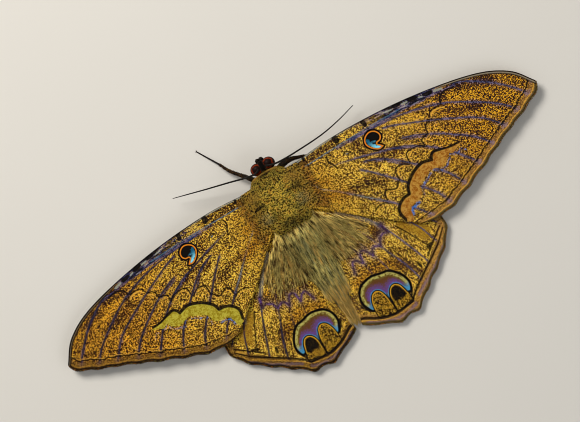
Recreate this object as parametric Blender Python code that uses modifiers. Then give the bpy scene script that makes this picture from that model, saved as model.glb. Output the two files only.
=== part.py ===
"""A black witch moth at rest with its wings spread flat, life size.

Plan sizes are in millimetres: x runs out from the midline, y from the shoulders to the tail, z up from the
surface that the moth stands on. The head faces -Y and the moth's left side is at +X.
"""

import math
import random

import bmesh
import bpy
from mathutils import Matrix, Vector

MM = 0.001
GAP = 0.3
PLAN_CENTRE_Y = 3.85
LEFT, RIGHT = 1, -1
SIDE_NAMES = {LEFT: "left", RIGHT: "right"}

# Body
THORAX_CENTRE = (0.0, -6.4, 6.2)
THORAX_HALF = (6.9, 9.4, 4.6)
THORAX_LENGTH_POWER = 2.6
THORAX_SECTION_POWER = 2.3
THORAX_SIDES, THORAX_RINGS = 24, 14
HEAD_TURNED_ASIDE = -0.4
HEAD_CENTRE = (0.0, -17.1, 6.1)
HEAD_HALF = (2.6, 2.4, 2.6)
EYE_CENTRE = (1.8, -17.3, 6.3)
EYE_HALF = (1.85, 1.75, 1.9)
BROW_HALF_WIDTH = 0.35
ABDOMEN_FRONT = 0.6
ABDOMEN_TAIL = 31.2
ABDOMEN_HALF_WIDTH = 4.2
ABDOMEN_HEIGHT_SHARE = 0.88
ABDOMEN_FRONT_Z = 5.6
ABDOMEN_TAIL_DROP = 3.2
ABDOMEN_SIDES, ABDOMEN_RINGS = 16, 21
RINGS_PER_SEGMENT = 3
SEGMENT_WAIST = 0.94

# Locks of long hair: each row is (y, number, widest angle from the top in degrees, length).
THORAX_LOCK_ROWS = (
    (-14.8, 5, 46, 4.4), (-12.3, 6, 50, 4.6), (-9.7, 7, 50, 4.8), (-7.1, 8, 52, 5.0), (-4.5, 8, 54, 5.4),
    (-2.0, 9, 58, 6.4), (0.2, 8, 66, 7.6),
)
ABDOMEN_LOCK_ROWS = (
    (8.6, 7, 74, 5.6), (12.0, 6, 72, 5.4), (15.4, 7, 72, 5.2), (18.8, 6, 70, 5.0), (22.2, 5, 68, 4.8),
    (25.4, 4, 62, 4.8), (28.2, 3, 50, 5.0),
)
THORAX_LOCK_HALF_WIDTH = 1.35
ABDOMEN_LOCK_HALF_WIDTH = 1.15
THORAX_COAT_END = 0.8
ABDOMEN_COAT_END = 29.6
HANG_FAN = 0.05
HANG_SLOPE = 0.16
LOCK_SINK = 0.65
LOCK_LIFT = 0.09
LOCK_HALF_THICKNESS = 0.3
LOCK_SIDES, LOCK_RINGS = 4, 5
HAIR_SEED = 11

# Wings
WING_THICKNESS = 0.5
WING_LOW = 1.7
WING_RISE = 5.2
WING_RISE_REACH = 12.0
SHOULDER_HALF_WIDTH = 6.3
SHOULDER_BACK = 1.0
FOREWING_LIFT = 1.3
FOREWING_CAMBER = 0.7
FOREWING_LENGTH = 75.0
VEIN_HEIGHT = 0.2
VEIN_FOOT = 0.45
WING_ROWS = 10
MARGIN_CROWDING = 1.3
SCALLOP_ROWS = (1.0, 0.4)

# Each ray of a wing runs from the shoulder to the outer margin, and the number after its points says how
# far along it, as a share of its length, the vein on it begins to stand out.
FOREWING_RAYS = (
    ([(4.2, -12.9), (20, -14.4), (40, -13.3), (60, -9.6), (70, -5.0), (75.2, 1.4)], 0.0),
    ([(4.6, -11.7), (20, -11.7), (40, -11.1), (55, -9.9), (63, -5.8), (68.5, -0.8), (72.7, 4.6)], 0.7),
    ([(4.9, -10.9), (20, -11.0), (38, -10.1), (50, -6.9), (58, -2.5), (64, 1.9), (68.2, 6.9)], 0.05),
    ([(5.1, -10.2), (22, -10.3), (33, -9.4), (42, -6.0), (52, -1.2), (58, 2.6), (63.2, 8.8)], 0.45),
    ([(5.2, -8.8), (20, -8.2), (33, -5.2), (41, -2.6), (48, 1.5), (54, 6.2), (57.7, 11.2)], 0.5),
    ([(5.3, -7.6), (15, -7.8), (25, -5.5), (35, -2.4), (41, 1.1), (46.5, 6.2), (52.2, 13.8)], 0.1),
    ([(5.3, -6.6), (15, -6.8), (24, -4.4), (30, -1.6), (36, 3.6), (42, 9.7), (45.7, 16.6)], 0.4),
    ([(5.3, -5.5), (14, -6.0), (20.5, -4.2), (26, 0.6), (32, 7.2), (37, 13.0), (39.6, 18.9)], 0.4),
    ([(5.3, -4.4), (11, -3.4), (20, 4.3), (26, 9.9), (31, 15.0), (33.9, 19.4)], 0.1),
    ([(5.0, -1.6), (10, 2.5), (15, 6.9), (20, 10.9), (25, 14.9), (28.5, 17.5), (30.4, 18.4)], 0.0),
)
FOREWING_SCALLOPS = (-0.6, 0.35, 0.4, 0.45, 0.5, 0.6, 0.6, 0.3, 0.0)

HINDWING_RAYS = (
    ([(3.6, -2.8), (15, 2.0), (25, 8.6), (31, 13.2), (34.8, 17.6)], 0.0),
    ([(3.6, -2.2), (15, 4.0), (24, 11.2), (30, 16.8), (35.0, 22.4)], 0.3),
    ([(3.6, -1.6), (12, 3.4), (18, 8.4), (24, 12.9), (27.8, 18.2), (30, 24), (31.1, 27.4)], 0.1),
    ([(3.5, -1.0), (12, 5.0), (16.5, 8.8), (20, 14.5), (23, 21.5), (25.2, 27.5), (26.3, 31.2)], 0.1),
    ([(3.4, -0.4), (10.5, 6.0), (14, 12), (17.3, 20), (20, 26.5), (21.9, 34.4)], 0.3),
    ([(3.3, 0.2), (9.5, 8.0), (12.5, 15.5), (15, 24), (16.3, 32), (16.5, 38.5)], 0.3),
    ([(3.2, 0.8), (8.0, 8.0), (9.8, 16), (10.7, 25), (11.2, 33), (10.9, 38.9)], 0.2),
    ([(3.1, 1.4), (6.4, 9.0), (6.6, 18), (6.0, 27), (5.2, 36.0)], 0.3),
    ([(3.0, 2.2), (4.2, 10), (2.9, 20), (1.5, 29), (0.9, 33.6)], 0.0),
)
HINDWING_SCALLOPS = (0.2, 0.3, 0.5, 0.7, 0.8, 1.1, 0.3, -0.1)

# Legs, feelers and mouth: each point is (x, y, z, radius).
FRONT_LEG_OUT = (
    (2.2, -13.0, 3.0, 1.0), (3.8, -15.4, 2.9, 0.95), (5.2, -17.3, 3.3, 0.85), (8.5, -21.4, 2.3, 0.7),
    (10.3, -24.8, 1.1, 0.42), (12.6, -28.7, 0.24, 0.34), (13.9, -31.0, 0.22, 0.32),
)
FRONT_LEG_TUCKED = (
    (2.2, -13.0, 3.0, 1.0), (4.2, -15.0, 3.1, 0.9), (7.2, -15.4, 2.8, 0.75), (10.0, -14.7, 1.5, 0.45),
    (13.4, -13.6, 0.24, 0.34), (16.0, -13.0, 0.22, 0.32),
)
MIDDLE_LEG = (
    (2.8, -8.0, 3.0, 1.1), (6.0, -6.5, 3.5, 0.9), (10.0, -4.6, 3.0, 0.7), (13.8, -2.6, 1.4, 0.45),
    (17.0, -0.8, 0.24, 0.34), (20.0, 0.9, 0.22, 0.32),
)
HIND_LEG = (
    (2.8, -2.6, 3.0, 1.1), (5.6, 1.5, 3.1, 0.9), (7.8, 6.5, 2.4, 0.75), (9.2, 12.0, 1.1, 0.45),
    (10.4, 17.0, 0.24, 0.34), (11.2, 20.6, 0.22, 0.32),
)
MIDDLE_SPURS_AT = (3,)
HIND_SPURS_AT = (2, 3)
SPUR_LENGTH = 2.0
SPUR_RADIUS = 0.26
FEELER_TO_SIDE = (
    (0.9, -16.9, 8.1, 0.36), (2.3, -16.4, 8.7, 0.34), (5.0, -16.9, 8.0, 0.33), (10.0, -18.4, 6.8, 0.31),
    (16.0, -20.1, 5.6, 0.28), (21.0, -21.6, 4.6, 0.25), (25.7, -23.0, 3.8, 0.16),
)
FEELER_ALONG_WING = (
    (1.4, -16.9, 8.1, 0.36), (2.8, -16.3, 8.7, 0.34), (5.2, -15.9, 8.1, 0.33), (10.0, -15.9, 7.0, 0.31),
    (18.0, -16.3, 5.6, 0.28), (24.0, -17.3, 4.8, 0.25), (29.8, -18.8, 4.2, 0.16),
)
PALP = ((0.7, -18.2, 4.6, 0.5), (0.7, -19.4, 5.0, 0.5), (0.7, -20.0, 5.9, 0.46), (0.7, -20.1, 6.9, 0.3))
PROBOSCIS_Y, PROBOSCIS_Z = -17.9, 1.8
PROBOSCIS_RADIUS = 1.2
PROBOSCIS_PITCH = 0.8
PROBOSCIS_TURNS = 1.25
PROBOSCIS_THICKNESS = 0.26
PROBOSCIS_POINTS_PER_MM = 2.2
TUBE_POINTS_PER_MM = 0.6
TUBE_BEVEL_RESOLUTION = 2

COLOURS = {
    "wing": (0.30, 0.19, 0.05),
    "thorax": (0.33, 0.25, 0.09),
    "abdomen": (0.28, 0.23, 0.12),
    "eye": (0.16, 0.03, 0.015),
    "limb": (0.10, 0.07, 0.035),
}
ROUGHNESS = {"wing": 0.8, "thorax": 0.9, "abdomen": 0.9, "eye": 0.2, "limb": 0.7}


# Scene

def clear_scene():
    for old in list(bpy.data.objects):
        bpy.data.objects.remove(old)


def new_collection(name):
    collection = bpy.data.collections.new(name)
    bpy.context.scene.collection.children.link(collection)
    return collection


def new_empty(name, collection, x=0.0, y=0.0, parent=None):
    """An empty that places what is parented to it, at a plan point in millimetres."""
    empty = bpy.data.objects.new(name, None)
    empty.location = Vector((x, y, 0.0)) * MM
    empty.parent = parent
    collection.objects.link(empty)
    return empty


def make_materials():
    made = {}
    for name, colour in COLOURS.items():
        material = bpy.data.materials.new(name)
        material.use_nodes = True
        shader = material.node_tree.nodes["Principled BSDF"]
        shader.inputs["Base Color"].default_value = (*colour, 1.0)
        shader.inputs["Roughness"].default_value = ROUGHNESS[name]
        shader.inputs["Metallic"].default_value = 0.0
        made[name] = material
    return made


def object_from(name, shape, parent, material=None, collection=None):
    """The bmesh, whose points are in millimetres, as a smooth-shaded object under its parent."""
    bmesh.ops.scale(shape, verts=shape.verts, vec=(MM, MM, MM))
    mesh = bpy.data.meshes.new(name)
    shape.to_mesh(mesh)
    shape.free()
    mesh.shade_smooth()
    if material:
        mesh.materials.append(material)
    made = bpy.data.objects.new(name, mesh)
    made.parent = parent
    (collection or parent.users_collection[0]).objects.link(made)
    return made


def cutter_from(name, shape, parent, cutters):
    """The bmesh as a cutter, which is drawn as wire and never rendered."""
    made = object_from(name, shape, parent, collection=cutters)
    made.hide_render = True
    made.display_type = "WIRE"
    return made


def cut(made, *cutters):
    for cutter in cutters:
        modifier = made.modifiers.new(f"clear_of_{cutter.name}", "BOOLEAN")
        modifier.operation = "DIFFERENCE"
        modifier.object = cutter


def evaluated_mesh(made):
    bpy.context.view_layer.update()
    return bpy.data.meshes.new_from_object(made.evaluated_get(bpy.context.evaluated_depsgraph_get()))


def islands(shape):
    """The bmesh's vertices, grouped by which of them are connected."""
    left = set(shape.verts)
    found = []
    while left:
        island, edge_of = set(), [left.pop()]
        while edge_of:
            vertex = edge_of.pop()
            island.add(vertex)
            near = {edge.other_vert(vertex) for edge in vertex.link_edges} & left
            left -= near
            edge_of.extend(near)
        found.append(island)
    return found


def settle(made):
    """Applies the object's modifiers and keeps its largest closed surface."""
    mesh = evaluated_mesh(made)
    shape = bmesh.new()
    shape.from_mesh(mesh)
    loose = sorted(islands(shape), key=len)[:-1]
    bmesh.ops.delete(shape, geom=[vertex for island in loose for vertex in island], context="VERTS")
    shape.to_mesh(mesh)
    shape.free()
    made.modifiers.clear()
    old, made.data = made.data, mesh
    bpy.data.meshes.remove(old)
    mesh.name = made.name


def fuse(made, pieces):
    """The object with the collection's closed pieces joined to it in one Boolean."""
    union = made.modifiers.new("union", "BOOLEAN")
    union.operation = "UNION"
    union.operand_type = "COLLECTION"
    union.collection = pieces
    settle(made)
    for piece in list(pieces.objects):
        bpy.data.objects.remove(piece)
    bpy.data.collections.remove(pieces)


# Round forms

def face_outward(shape):
    """Turns a closed shape's faces so that they all look out."""
    if shape.calc_volume(signed=True) < 0:
        bmesh.ops.reverse_faces(shape, faces=shape.faces)


def shaped_sphere(sides, rings, place):
    """A sphere with its poles along Y, whose unit points are each moved to where place puts them."""
    shape = bmesh.new()
    bmesh.ops.create_uvsphere(shape, u_segments=sides, v_segments=rings, radius=1.0)
    bmesh.ops.rotate(shape, verts=shape.verts, matrix=Matrix.Rotation(math.radians(90), 3, "X"))
    for vertex in shape.verts:
        vertex.co = place(vertex.co.copy())
    face_outward(shape)
    return shape


def ellipsoid_shape(centre, half, grow=0.0, side=LEFT, inner_x=None):
    """An ellipsoid, which inner_x cuts flat on the side towards the midline."""
    def place(unit):
        x, y, z = (c + u * (h + grow) for c, u, h in zip(centre, unit, half))
        if inner_x is not None:
            x = max(x, inner_x)
        return Vector((side * x, y, z))

    return shaped_sphere(18, 10, place)


def section(angle, power):
    """The (x, z) of a unit superellipse at this angle from its top."""
    x, z = math.sin(angle), math.cos(angle)
    reach = (abs(x) ** power + abs(z) ** power) ** (-1.0 / power)
    return x * reach, z * reach


def angle_of(unit):
    return math.atan2(unit.x, unit.z)


def thorax_point(angle, y, grow=0.0):
    """A point of the thorax's skin, grown outward, at an angle from the top and a place along it."""
    unit = (y - THORAX_CENTRE[1]) / (THORAX_HALF[1] + grow)
    size = max(0.0, 1.0 - abs(unit) ** THORAX_LENGTH_POWER) ** (1.0 / THORAX_LENGTH_POWER)
    x, z = section(angle, THORAX_SECTION_POWER)
    return Vector((x * (THORAX_HALF[0] * size + grow), y, THORAX_CENTRE[2] + z * (THORAX_HALF[2] * size + grow)))


def thorax_shape(grow=0.0):
    def place(unit):
        y = THORAX_CENTRE[1] + unit.y * (THORAX_HALF[1] + grow)
        if math.hypot(unit.x, unit.z) < 1e-6:
            return Vector((0.0, y, THORAX_CENTRE[2]))
        return thorax_point(angle_of(unit), y, grow)

    return shaped_sphere(THORAX_SIDES, THORAX_RINGS, place)


def abdomen_share(y):
    return min(max((y - ABDOMEN_FRONT) / (ABDOMEN_TAIL - ABDOMEN_FRONT), 0.0), 1.0)


def abdomen_half_width(share):
    return ABDOMEN_HALF_WIDTH * (1.0 - share**1.15) ** 0.8 * math.sqrt(1.0 - (1.0 - share) ** 14)


def abdomen_height(share):
    return ABDOMEN_FRONT_Z - ABDOMEN_TAIL_DROP * share**0.9


def abdomen_point(angle, y, grow=0.0, waist=1.0):
    share = abdomen_share(y)
    half = abdomen_half_width(share) * waist
    x, z = section(angle, 2.0)
    return Vector((x * (half + grow), y, abdomen_height(share) + z * (half * ABDOMEN_HEIGHT_SHARE + grow)))


def abdomen_shape(grow=0.0, waist=SEGMENT_WAIST):
    def place(unit):
        ring = round(math.acos(max(-1.0, min(1.0, -unit.y))) / math.pi * ABDOMEN_RINGS)
        share = ring / ABDOMEN_RINGS
        y = ABDOMEN_FRONT - grow + share * (ABDOMEN_TAIL - ABDOMEN_FRONT + 2 * grow)
        if ring in (0, ABDOMEN_RINGS):
            return Vector((0.0, y, abdomen_height(share)))
        narrowed = 1.0 if ring % RINGS_PER_SEGMENT else waist
        return abdomen_point(angle_of(unit), y, grow, narrowed)

    return shaped_sphere(ABDOMEN_SIDES, ABDOMEN_RINGS, place)


# Locks of hair

def wing_roof(x, y):
    """The height over which a lock is clear of the wings."""
    forewing_edge = FOREWING_RAYS[-1][0]
    (x0, y0), (x1, y1) = forewing_edge[0], forewing_edge[2]
    over_forewing = y < y0 + 1.0 + (abs(x) - x0) * (y1 - y0) / (x1 - x0)
    lift = FOREWING_LIFT + FOREWING_CAMBER / 2 if over_forewing else 0.0
    return wing_height(abs(x), y) + lift + WING_THICKNESS / 2 + VEIN_HEIGHT + GAP


def abdomen_roof(x, y):
    """The height over which a lock of the thorax is clear of the abdomen."""
    half = abdomen_half_width(abdomen_share(y)) + GAP
    top = math.sqrt(max(0.0, 1.0 - (x / half) ** 2)) * (half * ABDOMEN_HEIGHT_SHARE + GAP)
    return abdomen_height(abdomen_share(y)) + top if y > ABDOMEN_FRONT else 0.0


def coat_point(skin_point, skin_end, angle, y):
    """A point of the coat over the skin, which past skin_end hangs straight back and fans out."""
    past = max(y - skin_end, 0.0)
    point = skin_point(angle, y - past)
    return Vector((point.x * (1.0 + HANG_FAN * past), y, point.z - HANG_SLOPE * past))


def lock_shape(cover, angle, y, swing, length, half_width, roofs):
    """A flat tapered lock that bends along the coat, with its root sunk in the skin, over these roofs."""
    def place(unit):
        share = (unit.y + 1) / 2
        turned, back = angle + swing * share, y + length * share
        across = (cover(turned + 0.05, back) - cover(turned - 0.05, back)).normalized()
        along = (cover(turned, back + 0.3) - cover(turned, back - 0.3)).normalized()
        out = across.cross(along)
        taper = 1.1 - 0.6 * share
        half, thick = half_width * taper, LOCK_HALF_THICKNESS * taper
        centre = cover(turned, back) + out * (LOCK_LIFT * length * share - LOCK_SINK * (1.0 - share) ** 3)
        if share > 0.25:
            beside = (centre - across * half, centre, centre + across * half)
            lowest = max(roof(point.x, point.y) for roof in roofs for point in beside) + thick
            centre.z = max(centre.z, lowest)
        return centre + across * (unit.x * half) + out * (unit.z * thick)

    return shaped_sphere(LOCK_SIDES, LOCK_RINGS, place)


def add_locks(made, skin_point, skin_end, half_width, rows, roofs, dice):
    """Rows of overlapping locks that lie backwards over the skin, fused to it."""
    def cover(angle, y):
        return coat_point(skin_point, skin_end, angle, y)

    pieces = new_collection(made.name + "_locks")
    for row_y, count, widest, row_length in rows:
        for k in range(count):
            angle = math.radians(widest * (2 * k / (count - 1) - 1) + dice.uniform(-3, 3))
            y = row_y + dice.uniform(-0.5, 0.5)
            swing = math.radians(dice.uniform(-6, 6))
            length = row_length * dice.uniform(0.85, 1.1)
            width = half_width * dice.uniform(0.85, 1.1)
            shape = lock_shape(cover, angle, y, swing, length, width, roofs)
            object_from(f"lock_{row_y}_{k}", shape, made.parent, collection=pieces)
    fuse(made, pieces)


# Wings

def smooth_curve(points, steps=12):
    """A Catmull-Rom curve through the points, as a closely spaced list."""
    points = [Vector(p) for p in points]
    ends = [2 * points[0] - points[1], *points, 2 * points[-1] - points[-2]]
    found = []
    for before, start, end, after in zip(ends, ends[1:], ends[2:], ends[3:]):
        for step in range(steps):
            t = step / steps
            cubed = (3 * start - before - 3 * end + after) * t**3
            squared = (2 * before - 5 * start + 4 * end - after) * t**2
            found.append((2 * start + (end - before) * t + squared + cubed) / 2)
    return [*found, points[-1]]


def along_curve(curve, shares):
    """The points at these shares of the curve's length."""
    lengths = [0.0]
    for start, end in zip(curve, curve[1:]):
        lengths.append(lengths[-1] + (end - start).length)
    found = []
    for share in shares:
        want = share * lengths[-1]
        k = max(1, next((i for i, reached in enumerate(lengths) if reached >= want), len(curve) - 1))
        part = (want - lengths[k - 1]) / (lengths[k] - lengths[k - 1])
        found.append(curve[k - 1].lerp(curve[k], min(max(part, 0.0), 1.0)))
    return found


def wing_height(x, y):
    """The hindwing's height, which falls away from the shoulders towards every margin."""
    out = max(x - SHOULDER_HALF_WIDTH, 0.0)
    back = max(y - SHOULDER_BACK, 0.0)
    return WING_LOW + WING_RISE * math.exp(-math.hypot(out, back) / WING_RISE_REACH)


def forewing_height(x, y, chord_share):
    camber = FOREWING_CAMBER * math.sin(math.pi * chord_share) * min(x / FOREWING_LENGTH, 1.0) ** 0.5
    return wing_height(x, y) + FOREWING_LIFT + camber


def hindwing_height(x, y, chord_share):
    return wing_height(x, y)


def wing_points(rays, scallops, height):
    """The wing's surface as rows of points from shoulder to margin, each from the front edge to the rear one."""
    shares = [1.0 - (1.0 - row / WING_ROWS) ** MARGIN_CROWDING for row in range(WING_ROWS + 1)]
    lines = [along_curve(smooth_curve(points), shares) for points, _ in rays]
    rows = []
    for row, share in enumerate(shares):
        from_margin = WING_ROWS - row
        dip_share = SCALLOP_ROWS[from_margin] if from_margin < len(SCALLOP_ROWS) else 0.0
        found = []
        for k, scallop in enumerate(scallops):
            front, rear = lines[k][row], lines[k + 1][row]
            foot = min(VEIN_FOOT / (rear - front).length, 0.3)
            outward = Vector((0.0, 0.0))
            if row:
                outward = (front - lines[k][row - 1] + rear - lines[k + 1][row - 1]).normalized()
            last = k == len(scallops) - 1
            for part in (0.0, foot, 0.5, 1.0 - foot, *([1.0] if last else [])):
                point = front.lerp(rear, part) - outward * (4 * part * (1 - part) * scallop * dip_share)
                vein = 0.0
                if part in (0.0, 1.0):
                    begins = rays[k + int(part)][1]
                    grown = min(max((share - begins) / 0.12, 0.0), 1.0)
                    vein = VEIN_HEIGHT * grown * (1.0 - 0.6 * share)
                chord_share = (k + part) / len(scallops)
                found.append((point.x, point.y, height(point.x, point.y, chord_share) + vein))
        rows.append(found)
    return rows


def make_wing(name, rows, side, parent, material):
    """A thin curved sheet whose vein ridges are raised in its own surface."""
    across, out = len(rows[0]) - 1, len(rows) - 1
    shape = bmesh.new()
    bmesh.ops.create_grid(shape, x_segments=out, y_segments=across, size=1.0)
    for vertex in shape.verts:
        row = round((vertex.co.x + 1) / 2 * out)
        column = round((vertex.co.y + 1) / 2 * across)
        x, y, z = rows[row][column]
        vertex.co = Vector((side * x, y, z))
    bmesh.ops.triangulate(shape, faces=shape.faces)
    if side == RIGHT:
        bmesh.ops.reverse_faces(shape, faces=shape.faces)
    wing = object_from(name, shape, parent, material)
    sheet = wing.modifiers.new("thickness", "SOLIDIFY")
    sheet.thickness = WING_THICKNESS * MM
    sheet.offset = 0.0
    return wing


# Limbs

def tube(name, points, side, parent, material, points_per_mm=TUBE_POINTS_PER_MM):
    """A round tapered tube through the points, as a closed mesh."""
    smooth = smooth_curve(points, 8)
    length = sum((end - start).xyz.length for start, end in zip(smooth, smooth[1:]))
    count = max(6, round(length * points_per_mm))
    placed = along_curve(smooth, [i / count for i in range(count + 1)])
    curve = bpy.data.curves.new(name, "CURVE")
    curve.dimensions = "3D"
    curve.bevel_depth = 1.0
    curve.bevel_resolution = TUBE_BEVEL_RESOLUTION
    curve.use_fill_caps = True
    spline = curve.splines.new("POLY")
    spline.points.add(len(placed) - 1)
    for target, point in zip(spline.points, placed):
        target.co = (side * point[0], point[1], point[2], 1.0)
        target.radius = point[3]
    guide = bpy.data.objects.new(name + "_guide", curve)
    bpy.context.scene.collection.objects.link(guide)
    mesh = evaluated_mesh(guide)
    bpy.data.objects.remove(guide)
    shape = bmesh.new()
    shape.from_mesh(mesh)
    bpy.data.meshes.remove(mesh)
    bmesh.ops.remove_doubles(shape, verts=shape.verts, dist=1e-4)
    face_outward(shape)
    return object_from(name, shape, parent, material)


def add_spurs(leg, points, joints, side):
    """Pairs of slender spurs at these points of a leg, sunk into it and leaning towards the foot."""
    pieces = new_collection(leg.name + "_spurs")
    for joint in joints:
        start = Vector(points[joint][:3])
        radius = points[joint][3]
        lean = (start - Vector(points[joint - 1][:3])).normalized()
        for turn in (LEFT, RIGHT):
            sideways = Vector((-lean.y, lean.x, 0.0)).normalized() * turn
            end = start + lean * (SPUR_LENGTH * 0.8) + sideways * (radius + SPUR_LENGTH * 0.35)
            end.z = max(end.z, 0.45)
            spur = end - start
            shape = bmesh.new()
            bmesh.ops.create_cone(
                shape, cap_ends=True, segments=6, radius1=SPUR_RADIUS, radius2=0.06, depth=spur.length
            )
            turned = spur.to_track_quat("Z", "Y").to_matrix().to_4x4()
            bmesh.ops.transform(shape, verts=shape.verts, matrix=Matrix.Translation((start + end) / 2) @ turned)
            for vertex in shape.verts:
                vertex.co.x *= side
            face_outward(shape)
            object_from(f"spur_{joint}_{turn}", shape, leg.parent, collection=pieces)
    fuse(leg, pieces)


def proboscis_points():
    """A flat coil in the plane of the midline, with its root in the head."""
    points = [(0.0, PROBOSCIS_Y + 0.3, PROBOSCIS_Z + PROBOSCIS_RADIUS + 1.2, PROBOSCIS_THICKNESS)]
    steps = 26
    for step in range(steps + 1):
        turned = step / steps * PROBOSCIS_TURNS
        radius = PROBOSCIS_RADIUS - PROBOSCIS_PITCH * turned
        angle = math.radians(90) + math.tau * turned
        y, z = PROBOSCIS_Y + radius * math.cos(angle), PROBOSCIS_Z + radius * math.sin(angle)
        points.append((0.0, y, z, PROBOSCIS_THICKNESS))
    return points


# Sub-parts

def make_floor_slab(plan, cutters):
    """A slab whose top is the surface that the moth stands on."""
    shape = bmesh.new()
    bmesh.ops.create_cube(shape, size=1.0)
    bmesh.ops.scale(shape, verts=shape.verts, vec=(60, 80, 4))
    bmesh.ops.translate(shape, verts=shape.verts, vec=(0, 0, -2))
    return cutter_from("floor_slab", shape, plan, cutters)


def make_head(place, cutters, paint, thorax_clearance):
    """The head, its eyes in their sockets, its palps and its coiled proboscis."""
    head = object_from("head", ellipsoid_shape(HEAD_CENTRE, HEAD_HALF), place, paint["thorax"])
    clearance = cutter_from("head_clearance", ellipsoid_shape(HEAD_CENTRE, HEAD_HALF, GAP), place, cutters)
    cut(head, thorax_clearance)
    for side, name in SIDE_NAMES.items():
        socket_shape = ellipsoid_shape(EYE_CENTRE, EYE_HALF, GAP, side, BROW_HALF_WIDTH)
        socket = cutter_from(f"socket_{name}", socket_shape, place, cutters)
        cut(head, socket)
        eye_shape = ellipsoid_shape(EYE_CENTRE, EYE_HALF, 0.0, side, BROW_HALF_WIDTH + GAP)
        eye = object_from(f"eye_{name}", eye_shape, place, paint["eye"])
        cut(eye, thorax_clearance)
        cut(tube(f"palp_{name}", PALP, side, place, paint["thorax"]), clearance)
    coil = tube("proboscis", proboscis_points(), LEFT, place, paint["limb"], PROBOSCIS_POINTS_PER_MM)
    cut(coil, clearance)
    return clearance


def make_wings(plan, paint, thorax_clearance, abdomen_clearance):
    forewing_rows = wing_points(FOREWING_RAYS, FOREWING_SCALLOPS, forewing_height)
    hindwing_rows = wing_points(HINDWING_RAYS, HINDWING_SCALLOPS, hindwing_height)
    for side, name in SIDE_NAMES.items():
        cut(make_wing(f"forewing_{name}", forewing_rows, side, plan, paint["wing"]), thorax_clearance)
        hindwing = make_wing(f"hindwing_{name}", hindwing_rows, side, plan, paint["wing"])
        cut(hindwing, thorax_clearance, abdomen_clearance)


def make_legs(plan, paint, thorax_clearance, floor_slab):
    for side, name in SIDE_NAMES.items():
        front_leg = FRONT_LEG_OUT if side == LEFT else FRONT_LEG_TUCKED
        legs = (("front", front_leg, ()), ("middle", MIDDLE_LEG, MIDDLE_SPURS_AT), ("hind", HIND_LEG, HIND_SPURS_AT))
        for pair, points, spur_joints in legs:
            leg = tube(f"leg_{pair}_{name}", points, side, plan, paint["limb"])
            if spur_joints:
                add_spurs(leg, points, spur_joints, side)
            cut(leg, thorax_clearance, floor_slab)


def main():
    clear_scene()
    moth = new_collection("black_witch_moth")
    cutters = new_collection("cutters")
    plan = new_empty("plan_origin", moth, y=-PLAN_CENTRE_Y)
    head_place = new_empty("head_place", moth, x=HEAD_TURNED_ASIDE, parent=plan)
    paint = make_materials()
    dice = random.Random(HAIR_SEED)

    thorax_clearance = cutter_from("thorax_clearance", thorax_shape(GAP), plan, cutters)
    abdomen_clearance = cutter_from("abdomen_clearance", abdomen_shape(GAP, 1.0), plan, cutters)

    thorax = object_from("thorax", thorax_shape(), plan, paint["thorax"])
    roofs = (wing_roof, abdomen_roof)
    add_locks(thorax, thorax_point, THORAX_COAT_END, THORAX_LOCK_HALF_WIDTH, THORAX_LOCK_ROWS, roofs, dice)
    abdomen = object_from("abdomen", abdomen_shape(), plan, paint["abdomen"])
    roofs = (wing_roof,)
    add_locks(abdomen, abdomen_point, ABDOMEN_COAT_END, ABDOMEN_LOCK_HALF_WIDTH, ABDOMEN_LOCK_ROWS, roofs, dice)
    cut(abdomen, thorax_clearance)

    head_clearance = make_head(head_place, cutters, paint, thorax_clearance)
    feelers = {LEFT: FEELER_TO_SIDE, RIGHT: FEELER_ALONG_WING}
    for side, name in SIDE_NAMES.items():
        cut(tube(f"antenna_{name}", feelers[side], side, plan, paint["limb"]), head_clearance)
    make_wings(plan, paint, thorax_clearance, abdomen_clearance)
    make_legs(plan, paint, thorax_clearance, make_floor_slab(plan, cutters))


main()
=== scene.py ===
"""The looks of a black witch moth at rest with its wings spread flat.

Plan sizes are in millimetres, as in the part: x runs out from the midline, y from the shoulders to the tail
and z up from the floor. Every piece is worked out in that plan and scaled to metres when its mesh is made.
"""

import math

import bpy
import numpy as np
from bpy.props import FloatProperty, FloatVectorProperty, IntProperty, PointerProperty
from mathutils import Matrix


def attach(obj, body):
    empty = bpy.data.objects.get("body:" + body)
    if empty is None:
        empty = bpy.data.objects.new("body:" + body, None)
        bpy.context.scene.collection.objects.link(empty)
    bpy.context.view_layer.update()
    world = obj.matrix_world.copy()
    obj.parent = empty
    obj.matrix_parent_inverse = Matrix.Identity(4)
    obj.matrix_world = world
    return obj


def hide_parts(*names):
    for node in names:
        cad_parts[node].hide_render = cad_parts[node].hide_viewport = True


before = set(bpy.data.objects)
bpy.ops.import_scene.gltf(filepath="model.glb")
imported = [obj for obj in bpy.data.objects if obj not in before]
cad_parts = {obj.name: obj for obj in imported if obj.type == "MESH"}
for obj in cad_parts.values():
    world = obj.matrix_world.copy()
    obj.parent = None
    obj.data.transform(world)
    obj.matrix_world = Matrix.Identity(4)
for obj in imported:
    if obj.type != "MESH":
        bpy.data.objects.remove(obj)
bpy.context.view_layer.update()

bl_info = {
    "name": "Black witch moth",
    "version": (1, 0, 0),
    "blender": (4, 5, 0),
    "location": "View3D > Sidebar > Moth",
    "description": "Dresses the solids of a resting moth with scaled wings, a coat of tufts and glossy eyes",
    "category": "Object",
}

MM = 0.001
PLAN_CENTRE_Y = 3.85
SEED = 5
LEFT, RIGHT = 1, -1
SIDE_NAMES = {LEFT: "left", RIGHT: "right"}

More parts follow.
